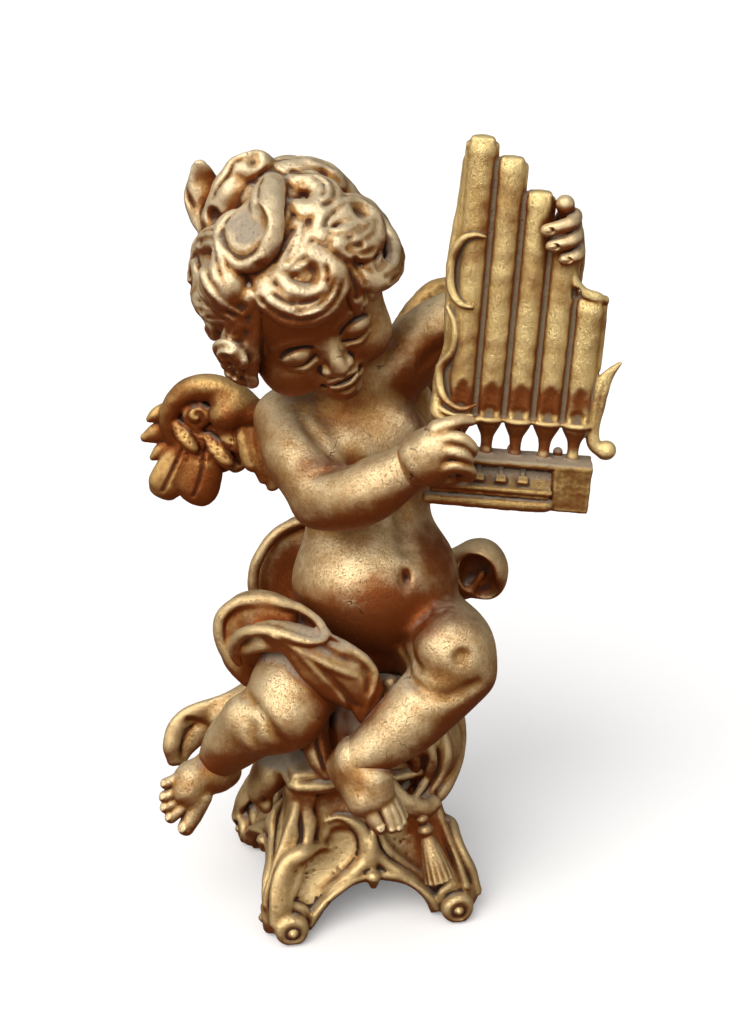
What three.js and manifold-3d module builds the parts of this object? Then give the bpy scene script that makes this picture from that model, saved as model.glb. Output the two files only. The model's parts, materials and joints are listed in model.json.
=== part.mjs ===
// A gilded cast-resin cherub that sits on a scrolled pedestal and plays a small portative organ.
// It is built as the separate castings that a workshop glues together, with the steel dowels,
// the threaded rod and the felt pads that hold them and the floor apart.
// Units are millimetres, +Z is up and the figure faces -Y. The part's origin is the middle of the
// footprint box on the floor; the build frame below starts from the pedestal's centre instead.

import * as THREE from "three";
import { mergeVertices } from "three/addons/utils/BufferGeometryUtils.js";
import Module from "manifold-3d";

const wasm = await Module();
wasm.setup();

// ---------- driving dimensions ----------

const GLUE = 0.4; // glue line between two castings
const PIN_RADIUS = 1.5; // steel dowel
const HOLE_RADIUS = 1.85; // drilled hole for a dowel
const AROUND = 9; // facets round a limb or a ball

const PAD = { radius: 6, thickness: 1.5, gap: 0.3 };
const FLOOR = PAD.thickness + PAD.gap; // underside of the pedestal's feet
const PEDESTAL = { turn: 13, top: 88, ceiling: 68, wall: 9 };
const FOOT = { x: 42, y: 40, radius: 13 };
const BOSS = { radius: 8, reach: 63, height: 12, frontOffset: 41, sideOffset: 31 };

const ROD = { radius: 3, hole: 3.3, low: 56, high: 150 };
const NUT = { acrossCorners: 5.77, height: 5 }; // radius over the corners of an M6 nut
const WASHER = { radius: 9, height: 1.6 };

// Places on the body, from the pedestal's centre on the floor.
const BODY = {
  pelvis: [14, 6, 142],
  belly: [12, -10, 178],
  chest: [10, -1, 238],
  neck: [4, -2, 284],
  skull: [-25, -20, 334],
  rightShoulder: [-31, -3, 260],
  rightElbow: [-12, -38, 238],
  rightWrist: [31, -62, 256],
  rightPalm: [43, -67, 265],
  leftShoulder: [30, 6, 290],
  leftElbow: [66, 4, 315],
  leftWrist: [99, -18, 337],
  rightHip: [-10, 2, 143],
  rightKnee: [-36, -54, 119],
  rightAnkle: [-68, -38, 88],
  leftHip: [38, 2, 143],
  leftKnee: [52, -52, 160],
  leftAnkle: [1, -68, 103],
};

const HEAD_TURN = { pitch: 18, roll: -24, yaw: 12 }; // bowed, leaning to its right, looking left

// The organ has its own frame: x along the row of pipes, y away, z up the pipes from the chest.
const ORGAN = { at: [78.5, -42, 256.5], lean: 3.6, yaw: -4 };
const PIPES = { pitch: 13.6, firstX: -27.2, radius: 6.9, collar: 18, tops: [146, 138, 124, 105, 78] };
const CHEST = { left: -38, right: 36, front: -10, back: 8, depth: 23 };
const RECESS = { left: -35, right: 19, back: 1, top: -3, floor: -10 }; // the keyboard's opening
const KEY = { count: 5, first: -33, pitch: 11, width: 5.5, height: 2.6 };

const GOLD = new THREE.MeshStandardMaterial({ color: 0xb08d4c, roughness: 0.42, metalness: 0.85 });
const AGED_GOLD = new THREE.MeshStandardMaterial({ color: 0x9c7a40, roughness: 0.5, metalness: 0.8 });
const STEEL = new THREE.MeshStandardMaterial({ color: 0x9fa1a3, roughness: 0.35, metalness: 1 });
const FELT = new THREE.MeshStandardMaterial({ color: 0x1f4a33, roughness: 1, metalness: 0 });

// ---------- solids ----------

const radians = THREE.MathUtils.degToRad;
const vector = (p) => new THREE.Vector3(...p);

/** A closed three.js geometry as a solid, with its shared vertices merged. */
function solid(geometry) {
  const bare = geometry.clone();
  bare.deleteAttribute("normal");
  bare.deleteAttribute("uv");
  const merged = mergeVertices(bare, 1e-4);
  const make = (triVerts) =>
    new wasm.Manifold(
      new wasm.Mesh({ numProp: 3, vertProperties: merged.attributes.position.array, triVerts }),
    );
  const triVerts = new Uint32Array(merged.index.array);
  const made = make(triVerts);
  return made.volume() > 0 ? made : make(triVerts.reverse());
}

const join = (...solids) => solids.reduce((all, next) => all.add(next));
const cut = (body, ...tools) => tools.reduce((left, tool) => left.subtract(tool), body);

/** A box between two corners. */
function block(low, high) {
  const size = high.map((value, axis) => value - low[axis]);
  const middle = high.map((value, axis) => (value + low[axis]) / 2);
  return solid(new THREE.BoxGeometry(...size).translate(...middle));
}

/** An ellipsoid, turned by Euler angles in degrees, with every radius larger by grow. */
function egg(at, radii, grow = 0, turn = [0, 0, 0], facets = AROUND) {
  const shape = new THREE.SphereGeometry(1, facets, Math.round(facets * 0.6));
  shape.rotateX(Math.PI / 2);
  shape.scale(...radii.map((r) => r + grow));
  shape.applyQuaternion(
    new THREE.Quaternion().setFromEuler(new THREE.Euler(...turn.map(radians))),
  );
  return solid(shape.translate(...at));
}

const ball = (at, radius, grow = 0, facets = 10) =>
  egg(at, [radius, radius, radius], grow, [0, 0, 0], facets);

/** A lathed solid whose profile of [radius, distance] runs along from -> to. */
function turned(from, to, profile, facets = AROUND) {
  const along = vector(to).sub(vector(from)).normalize();
  const shape = new THREE.LatheGeometry(
    profile.map(([r, y]) => new THREE.Vector2(r, y)),
    facets,
  );
  shape.applyQuaternion(
    new THREE.Quaternion().setFromUnitVectors(new THREE.Vector3(0, 1, 0), along),
  );
  return solid(shape.translate(...from));
}

/** A round bar between two points. */
function bar(from, to, radius, facets = 8) {
  const length = vector(to).distanceTo(vector(from));
  return turned(from, to, [[0, 0], [radius, 0], [radius, length], [0, length]], facets);
}

/** Two balls of different size with the cone that touches both. */
function taper(from, to, startRadius, endRadius, grow = 0, facets = AROUND) {
  const [a, b] = [startRadius + grow, endRadius + grow];
  const length = vector(to).distanceTo(vector(from));
  const lean = Math.asin((a - b) / length);
  const steps = facets > 6 ? 2 : 1; // rings on each rounded end
  const profile = [];
  for (let i = 0; i <= steps; i++) {
    const angle = -Math.PI / 2 + (i / steps) * (Math.PI / 2 + lean);
    profile.push([i ? a * Math.cos(angle) : 0, a * Math.sin(angle)]);
  }
  for (let i = 0; i <= steps; i++) {
    const angle = lean + (i / steps) * (Math.PI / 2 - lean);
    profile.push([i < steps ? b * Math.cos(angle) : 0, length + b * Math.sin(angle)]);
  }
  return turned(from, to, profile, facets);
}

/** A limb: tapers through a list of [place, radius]. */
function limb(stations, grow = 0, facets = AROUND) {
  const parts = stations
    .slice(1)
    .map(([at, r], i) => taper(stations[i][0], at, stations[i][1], r, grow, facets));
  return join(...parts);
}

/** A bar of constant round section that follows a smooth curve. */
function rope(points, radius, steps = 12) {
  const section = new THREE.Shape().absarc(0, 0, radius, 0, Math.PI * 2);
  const path = new THREE.CatmullRomCurve3(points.map(vector));
  return solid(
    new THREE.ExtrudeGeometry(section, { steps, curveSegments: 4, extrudePath: path }),
  );
}

const between = (a, b, share) => a.map((value, axis) => value + (b[axis] - value) * share);
const shifted = (a, by) => a.map((value, axis) => value + by[axis]);

/** The two ends of a dowel of a given length, centred on a place and running along a direction. */
function dowelEnds(centre, direction, length) {
  const half = vector(direction).normalize().multiplyScalar(length / 2);
  const middle = vector(centre);
  return [middle.clone().sub(half).toArray(), middle.clone().add(half).toArray()];
}


// ---------- pedestal ----------

const turnedPedestal = (shape) => shape.rotate([0, 0, PEDESTAL.turn]);
const SIGNS = [[-1, -1], [1, -1], [1, 1], [-1, 1]];

/** A square-section tower from a profile of [half width, height]. */
function squareTower(profile) {
  const points = profile.map(([half, z]) => new THREE.Vector2(half * Math.SQRT2, z));
  return solid(new THREE.LatheGeometry(points, 4, Math.PI / 4).rotateX(Math.PI / 2));
}

/** The pedestal's flank: a waisted shell with a moulded cap. */
function pedestalTower(grow) {
  const top = PEDESTAL.top + grow;
  const flank = [[49, FLOOR], [50, 16], [45, 32], [39, 50], [35.5, 66], [35, 76], [38.5, 80]];
  const walls = flank.map(([half, z]) => [half + grow, z]);
  return squareTower([[0, FLOOR], ...walls, [38.5 + grow, top], [0, top]]);
}

function pedestalFeet() {
  const feet = [];
  for (const [sx, sy] of SIGNS) {
    const front = [sx * BOSS.frontOffset, sy * BOSS.reach, BOSS.height];
    const side = [sx * BOSS.reach, sy * BOSS.sideOffset, BOSS.height];
    feet.push(
      ball([sx * FOOT.x, sy * FOOT.y, FOOT.radius], FOOT.radius, 0, 12),
      bar(shifted(front, [0, -sy * 19, 0]), front, BOSS.radius),
      bar(shifted(side, [-sx * 19, 0, 0]), side, BOSS.radius),
    );
  }
  return feet;
}

function pedestal(grow = 0) {
  const body = join(pedestalTower(grow), ...pedestalFeet());
  const inside = [[0, -5], [40, -5], [41, 16], [36, 32], [30, 50], [27, PEDESTAL.ceiling]];
  const cavity = squareTower([...inside, [0, PEDESTAL.ceiling]]);
  const archFront = bar([0, -80, -6], [0, 80, -6], 31, 20);
  const archSide = bar([-80, 0, -4], [80, 0, -4], 25, 20);
  const below = block([-90, -90, -30], [90, 90, FLOOR]);
  return turnedPedestal(cut(body, cavity, archFront, archSide, below));
}

// ---------- figure ----------

function torso(grow = 0) {
  return join(
    egg(BODY.pelvis, [37, 30, 26], grow),
    egg(BODY.belly, [43, 39, 36], grow),
    egg(BODY.chest, [34, 26, 42], grow),
    taper(shifted(BODY.rightShoulder, [13, 1, -3]), shifted(BODY.leftShoulder, [-11, -1, -5]), 15, 15, grow),
    taper(shifted(BODY.neck, [0, 1, -14]), BODY.neck, 17, 15, grow),
  );
}

const headTurn = new THREE.Matrix4()
  .makeRotationZ(radians(HEAD_TURN.yaw))
  .multiply(new THREE.Matrix4().makeRotationY(radians(HEAD_TURN.roll)))
  .multiply(new THREE.Matrix4().makeRotationX(radians(HEAD_TURN.pitch)));

const onHead = (p) => shifted(vector(p).applyMatrix4(headTurn).toArray(), BODY.skull);

/** Locks stand round the skull in rings of [height angle, how many, first angle, sweep]. */
const LOCK_RINGS = [[64, 4, 20, 270], [28, 8, -15, 315], [-8, 5, -5, 190]];

function locks(grow) {
  const found = [];
  for (const [up, count, first, sweep] of LOCK_RINGS) {
    for (let i = 0; i < count; i++) {
      const turn = radians(first + (sweep * i) / (count - 1));
      const out = Math.cos(radians(up));
      const place = [42 * out * Math.cos(turn), 3 + 39 * out * Math.sin(turn), 42 * Math.sin(radians(up))];
      found.push(ball(onHead(place), 13, grow, 6));
    }
  }
  return found;
}

function head(grow = 0) {
  const tilted = (at, radii) => {
    const shape = new THREE.SphereGeometry(1, AROUND, 9);
    shape.scale(...radii.map((r) => r + grow)).translate(...at);
    return solid(shape.applyMatrix4(headTurn).translate(...BODY.skull));
  };
  return join(
    tilted([0, 2, 4], [41, 42, 41]),
    tilted([0, -13, -18], [29, 27, 31]),
    taper(onHead([0, 6, -20]), shifted(BODY.neck, [-3, -2, 8]), 15, 14.5, grow),
    ...locks(grow),
  );
}

/** Three curled fingers and one stretched to the keys, from the palm. */
function rightHand() {
  const palm = BODY.rightPalm;
  const curled = [0, 1, 2].map((i) =>
    limb(
      [
        [shifted(palm, [5, -3, 5 - i * 5]), 4.6],
        [shifted(palm, [14, -6, 3 - i * 5]), 4],
        [shifted(palm, [12, -2, -4 - i * 3]), 3.5],
      ],
      0,
      6,
    ),
  );
  const pointing = taper(shifted(palm, [3, 0, 7]), shifted(palm, [16, -2, 12]), 4.8, 3.6, 0, 6);
  return join(egg(palm, [13, 9.5, 11]), pointing, ...curled);
}

const rightArm = (grow = 0) =>
  join(
    limb(
      [
        [BODY.rightShoulder, 19],
        [BODY.rightElbow, 17],
        [shifted(BODY.rightElbow, [20, -7, 1]), 16.5],
        [BODY.rightWrist, 11],
      ],
      grow,
    ),
    rightHand(),
  );

const leftArm = (grow = 0) =>
  limb(
    [
      [BODY.leftShoulder, 18.5],
      [shifted(BODY.leftShoulder, [19, 4, 9]), 16.5],
      [BODY.leftElbow, 15],
      [BODY.leftWrist, 10],
    ],
    grow,
  );

/** A foot: heel, instep and five toes in a row, each a step across from the next. */
function foot(ankle, heel, tread, across, toe, grow) {
  const toes = [-2, -1, 0, 1, 2].map((i) => {
    const root = shifted(tread, across.map((v) => v * i));
    return taper(root, shifted(root, toe), 4.4 - 0.3 * i, 3.8 - 0.4 * i, grow, 6);
  });
  return join(
    taper(ankle, heel, 10.5, 9, grow),
    taper(heel, tread, 9, 8.5, grow),
    taper(ankle, tread, 10, 8.5, grow),
    ...toes,
  );
}

const rightLeg = (grow = 0) =>
  join(
    limb(
      [
        [BODY.rightHip, 25],
        [between(BODY.rightHip, BODY.rightKnee, 0.55), 24],
        [BODY.rightKnee, 19.5],
        [shifted(BODY.rightKnee, [-16, 6, -8]), 18],
        [BODY.rightAnkle, 10.5],
      ],
      grow,
    ),
    foot(BODY.rightAnkle, [-65, -30, 82], [-82, -48, 74], [1.8, -2.6, -2.6], [-7, -5, -6], grow),
  );

const leftLeg = (grow = 0) =>
  join(
    limb(
      [
        [BODY.leftHip, 26],
        [between(BODY.leftHip, BODY.leftKnee, 0.6), 25],
        [BODY.leftKnee, 21],
        [shifted(BODY.leftKnee, [-14, -6, -16]), 19.5],
        [BODY.leftAnkle, 11],
      ],
      grow,
    ),
    foot(BODY.leftAnkle, [-9, -62, 101], [13, -78, 86], [3.2, 1.4, 1.6], [5, -5, -9], grow),
  );

// ---------- cloth, cast with the rest in resin ----------

/** The draped mound the child sits on, its fall behind the right foot and its swag at the left. */
function seatDrapery(grow = 0) {
  return join(
    egg([6, 2, 108], [44, 38, 25], grow),
    egg([4, 4, 92], [34, 32, 12], grow),
    limb([[[-34, 12, 108], 13], [[-62, 10, 99], 9], [[-82, 6, 86], 9]], grow),
    limb([[[40, 0, 104], 15], [[53, -2, 84], 13], [[51, -18, 68], 10], [[42, -38, 72], 7.5]], grow),
  );
}

const lapDrapery = (grow = 0) =>
  join(
    limb([[[-58, -20, 158], 11], [[-34, -38, 170], 10], [[-8, -46, 166], 9], [[10, -54, 142], 9]], grow),
    limb([[[-20, -44, 164], 9], [[-4, -52, 140], 9], [[7, -56, 118], 6]], grow),
    limb([[[-58, -20, 158], 11], [[-60, -12, 142], 9], [[-46, -4, 126], 10]], grow),
  );

const backDrapery = (grow = 0) =>
  join(
    egg([-33, 30, 170], [26, 11, 34], grow, [0, 12, 0]),
    limb([[[-25, 30, 140], 12], [[10, 36, 132], 12], [[44, 30, 146], 12]], grow),
    limb([[[44, 30, 146], 12], [[58, 24, 168], 13], [[68, 20, 175], 15]], grow),
  );

// ---------- wings ----------

/** A folded wing seen from the front, as [outward, up] from its root. */
const WING_OUTLINE = [
  [0, -14], [0, 12], [12, 24], [28, 30], [42, 26], [54, 14], [62, 3], [66, -6], [59, -13],
  [66, -22], [58, -28], [62, -40], [50, -46], [38, -46], [28, -36], [24, -24], [10, -20],
];

function wing(root, side, sweep, size) {
  const [first, ...rest] = WING_OUTLINE.map(([x, z]) => new THREE.Vector2(x, z));
  const outline = new THREE.Shape();
  outline.moveTo(first.x, first.y);
  outline.splineThru([...rest, first]);
  const plate = new THREE.ExtrudeGeometry(outline, { depth: 9, bevelEnabled: false, curveSegments: 2 });
  plate.rotateX(Math.PI / 2);
  plate.scale(size, 1, size);
  const standing = side < 0 ? solid(plate).mirror([1, 0, 0]) : solid(plate);
  return join(
    standing.rotate([0, 0, sweep]).translate(root),
    ball(shifted(root, [side * 3, -4, 0]), 12),
  );
}

const rightWing = () => wing([-42, 24, 245], -1, 0, 1);
const leftWing = () => wing([22, 34, 290], 1, 35, 0.92);

// ---------- organ ----------

const organTurn = new THREE.Matrix4()
  .makeTranslation(...ORGAN.at)
  .multiply(new THREE.Matrix4().makeRotationZ(radians(ORGAN.yaw)))
  .multiply(new THREE.Matrix4().makeRotationY(radians(ORGAN.lean)));

const inOrgan = (shape) => shape.transform([...organTurn.elements]);
const onOrgan = (p) => vector(p).applyMatrix4(organTurn).toArray();
const pipeX = (i) => PIPES.firstX + i * PIPES.pitch;

/** One pipe: conical foot, collar, body and a rounded top. */
function pipe(i, grow = 0) {
  const { collar } = PIPES;
  const height = PIPES.tops[i] + grow;
  const r = PIPES.radius + grow;
  const profile = [
    [0, GLUE],
    [2.4, GLUE],
    [4.6, collar - 3],
    [r, collar - 1],
    [r, collar + 2],
    [r - 0.8, collar + 4],
    [r, height - 3],
    [r - 2.5, height],
    [0, height],
  ];
  return turned([pipeX(i), 0, 0], [pipeX(i), 0, 1], profile, 10);
}

/** The stepped board that carries the pipes. */
function pipeBoard(grow = 0) {
  const left = pipeX(0) - 9 - grow;
  const low = PIPES.collar - 2 - grow;
  const points = [[left, low], [left, low + 70], [left + 4, low + 85]];
  for (const [i, top] of PIPES.tops.entries()) {
    const high = top - 4 + grow;
    points.push([pipeX(i) - 4 + grow, high], [pipeX(i) + 5 + grow, high]);
  }
  points.push([pipeX(4) + 5 + grow, low]);
  const outline = new THREE.Shape(points.map(([x, z]) => new THREE.Vector2(x, z)));
  const depth = 5 + 2 * grow;
  const board = new THREE.ExtrudeGeometry(outline, { depth, bevelEnabled: false });
  return solid(board.rotateX(Math.PI / 2).translate(0, 6 + grow, 0));
}

/** The scroll that stands free at the right of the last pipe and ends in a knob. */
function pipeScroll() {
  const curl = rope([[44, 0, 46], [38, 0, 37], [34, 0, 26], [34, 0, 13], [40, 0, 6]], 3);
  return join(curl, ball([40.5, 0, 7], 4.5));
}

const allPipes = (grow) => PIPES.tops.map((_, i) => pipe(i, grow));
const pipeBank = (grow = 0) =>
  inOrgan(join(...allPipes(grow), pipeBoard(grow), pipeScroll()));

function windChest(grow = 0) {
  const { left, right, front, back, depth } = CHEST;
  const box = block([left - grow, front - grow, -depth - grow], [right + grow, back + grow, grow]);
  if (grow) return inOrgan(box);
  const opening = block([RECESS.left, front - 5, RECESS.floor], [RECESS.right, RECESS.back, RECESS.top]);
  const keys = [...Array(KEY.count).keys()].map((i) => {
    const x = KEY.first + i * KEY.pitch;
    const top = RECESS.floor + KEY.height;
    return block([x, front + 1, RECESS.floor - 1], [x + KEY.width, RECESS.back + 1, top]);
  });
  return inOrgan(join(cut(box, opening), ...keys));
}

/** The left hand: a palm behind the fourth pipe, three fingers over its front and the thumb. */
function leftHand() {
  const fingers = [0, 1, 2].map((i) => {
    const z = 106 - i * 7;
    return limb([[[21, 12, z], 4.6], [[24.5, -7, z], 4.3], [[10 + i * 3, -11, z - 2], 3.7]], 0, 6);
  });
  const thumb = limb([[[20, 12, 112], 4.8], [[12, -1, 120], 4.8]], 0, 6);
  return inOrgan(join(egg([22, 16, 100], [9, 8, 13]), thumb, ...fingers));
}

/** A cord tassel that hangs down the pedestal's front. */
function tassel() {
  const top = [43, -43, 64];
  const profile = [[0, 0], [3, 1], [5, 5], [2.8, 8], [4.6, 11], [9, 37], [0, 38]];
  return turned(top, shifted(top, [4, -9, -34]), profile, 12);
}

// ---------- assembly ----------

const DOWELS = {
  neck_dowel: dowelEnds(shifted(BODY.neck, [-3, -3, 12]), [-8, -5, 18], 30),
  right_shoulder_dowel: dowelEnds(shifted(BODY.rightShoulder, [2, 0, -1]), [1, 0, 0], 30),
  left_shoulder_dowel: dowelEnds(shifted(BODY.leftShoulder, [4, 1, 2]), [20, 4, 9], 32),
  right_hip_dowel: dowelEnds([-16, -24, 140], [-10, -26, -9], 34),
  left_hip_dowel: dowelEnds([42, -24, 148], [7, -30, 8], 36),
  right_wing_dowel: dowelEnds([-31, 14, 246], [-12, 8, 0], 26),
  left_wing_dowel: dowelEnds([24, 24, 285], [0, 12, 3], 22),
  left_wrist_dowel: dowelEnds([102, -21, 343], [6, -6, 12], 22),
  organ_side_dowel: dowelEnds([38, -27, 244], [24, -24, 0], 32),
  organ_dowel_left: [onOrgan([pipeX(0), 0, -12]), onOrgan([pipeX(0), 0, 14])],
  organ_dowel_right: [onOrgan([pipeX(4), 0, -12]), onOrgan([pipeX(4), 0, 14])],
};

const statuette = new THREE.Group();

function place(name, shape, material) {
  const { vertProperties, triVerts, numProp } = shape.getMesh();
  const geometry = new THREE.BufferGeometry();
  const positions = new THREE.InterleavedBuffer(vertProperties, numProp);
  geometry.setAttribute("position", new THREE.InterleavedBufferAttribute(positions, 3, 0));
  geometry.setIndex(new THREE.BufferAttribute(triVerts, 1));
  geometry.computeVertexNormals();
  const mesh = new THREE.Mesh(geometry, material);
  mesh.name = name;
  statuette.add(mesh);
}

/** The biggest piece of a cut solid: cutting can leave crumbs at a thin edge. */
const mainPiece = (shape) =>
  shape.decompose().reduce((best, next) => (next.volume() > best.volume() ? next : best));

// In seating order: each casting is cut back from every earlier one by the glue line.
const CASTINGS = [
  ["pedestal", pedestal, GOLD],
  ["organ_windchest", windChest, AGED_GOLD],
  ["organ_pipe_bank", pipeBank, GOLD],
  ["torso", torso, GOLD],
  ["right_leg", rightLeg, GOLD],
  ["left_leg", leftLeg, GOLD],
  ["seat_drapery", seatDrapery, AGED_GOLD],
  ["lap_drapery", lapDrapery, GOLD],
  ["right_arm", rightArm, GOLD],
  ["left_arm", leftArm, GOLD],
  ["left_hand", leftHand, GOLD],
  ["head", head, GOLD],
  ["back_drapery", backDrapery, AGED_GOLD],
  ["right_wing", rightWing, GOLD],
  ["left_wing", leftWing, GOLD],
  ["tassel", tassel, GOLD],
];

/** A dowel's hole: a little wider and longer than the dowel itself. */
function dowelHole([from, to]) {
  const spare = vector(to).sub(vector(from)).setLength(0.5).toArray();
  return bar(shifted(from, spare.map((v) => -v)), shifted(to, spare), HOLE_RADIUS);
}

const rodHole = bar([0, 0, 40], [0, 0, ROD.high + 1], ROD.hole);
const holes = [rodHole, ...Object.values(DOWELS).map(dowelHole)];
const seated = [];
for (const [name, build, material] of CASTINGS) {
  place(name, mainPiece(cut(build(), ...seated, ...holes)).simplify(0.1), material);
  seated.push(build(GLUE));
}

for (const [name, ends] of Object.entries(DOWELS)) {
  place(name, bar(...ends, PIN_RADIUS), STEEL);
}

/** A nut or washer: a disc with the rod's clearance hole. */
function pierced(radius, hole, low, height, facets) {
  const disc = bar([0, 0, low], [0, 0, low + height], radius, facets);
  return cut(disc, bar([0, 0, low - 1], [0, 0, low + height + 1], hole, 16));
}

const washerLow = PEDESTAL.ceiling - WASHER.height - 0.1;
const nutLow = washerLow - NUT.height - 0.1;
place("rod", bar([0, 0, ROD.low], [0, 0, ROD.high], ROD.radius, 16), STEEL);
place("washer", pierced(WASHER.radius, ROD.hole, washerLow, WASHER.height, 24), STEEL);
place("nut", pierced(NUT.acrossCorners, ROD.radius + 0.15, nutLow, NUT.height, 6), STEEL);

const PAD_NAMES = ["front_left", "front_right", "back_right", "back_left"];
for (const [i, [sx, sy]] of SIGNS.entries()) {
  const low = [sx * FOOT.x, sy * FOOT.y, 0];
  const pad = bar(low, shifted(low, [0, 0, PAD.thickness]), PAD.radius, 16);
  place(`pad_${PAD_NAMES[i]}`, turnedPedestal(pad), FELT);
}

// The origin moves from the pedestal's centre to the middle of the footprint box.
const footprint = new THREE.Box3().setFromObject(statuette);
const middle = footprint.getCenter(new THREE.Vector3());
for (const mesh of statuette.children) {
  mesh.geometry.translate(-middle.x, -middle.y, -footprint.min.z);
}

export default statuette;
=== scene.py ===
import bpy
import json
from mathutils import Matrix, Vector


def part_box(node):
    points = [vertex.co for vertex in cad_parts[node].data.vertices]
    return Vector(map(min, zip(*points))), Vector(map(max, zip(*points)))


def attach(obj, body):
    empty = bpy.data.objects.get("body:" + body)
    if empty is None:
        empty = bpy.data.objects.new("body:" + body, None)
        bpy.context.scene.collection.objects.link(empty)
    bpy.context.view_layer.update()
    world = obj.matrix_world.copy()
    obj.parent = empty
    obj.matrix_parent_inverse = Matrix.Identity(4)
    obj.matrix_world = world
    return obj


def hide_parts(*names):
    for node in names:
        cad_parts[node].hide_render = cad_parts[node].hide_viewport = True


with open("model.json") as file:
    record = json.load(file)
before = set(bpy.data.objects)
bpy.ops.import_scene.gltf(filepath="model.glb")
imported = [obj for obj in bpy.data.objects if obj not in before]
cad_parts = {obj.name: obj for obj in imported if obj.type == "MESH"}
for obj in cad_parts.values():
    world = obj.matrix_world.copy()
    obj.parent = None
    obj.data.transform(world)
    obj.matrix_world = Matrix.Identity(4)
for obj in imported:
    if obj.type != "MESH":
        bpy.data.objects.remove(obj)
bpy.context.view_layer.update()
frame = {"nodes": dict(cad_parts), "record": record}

# The looks of a gilded cast-resin cherub that plays a small organ on a scrolled pedestal.
#
# Every carved surface is modelled as clay: a block of voxels that holds the distance to the
# surface in millimetres, negative inside. Strokes are added to it and carved from it, and
# OpenVDB then skins it. Places are in millimetres in the build frame, which starts at the middle
# of the pedestal on the floor: x to the viewer's right, y away from the viewer, z up.

import copy
import json
import math

import bpy
import numpy as np
import openvdb
from mathutils import Matrix, Vector

MM = 0.001
FAR = 30.0  # mm, stands for "nothing near"
BAND = 3.0  # voxels; distances beyond this don't matter to the skin
SOFT_LIMIT = 8.0  # mm; distances beyond this don't matter when a surface is softened
COARSE = 1.0
VIEW = (0, 0.94, -0.34)  # the way the viewer looks
FRONT = (0, -1, 0)  # out of the front
FRONT_IN = (0, 1, 0)  # into the front

pedestal_low, pedestal_high = (Vector(corner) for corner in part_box("pedestal"))
START = Vector(((pedestal_low.x + pedestal_high.x) / 2, (pedestal_low.y + pedestal_high.y) / 2, 0))
FLOOR_GAP = pedestal_low.z / MM  # the pads hold the pedestal this far off the floor


# ---------- clay ----------

def smooth_min(a, b, blend):
    """The nearer of two surfaces, with a fillet about as wide as blend between them."""
    if blend <= 0:
        return np.minimum(a, b)
    near = np.maximum(blend - np.abs(a - b), 0) / blend
    return np.minimum(a, b) - near * near * blend * 0.25


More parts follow.
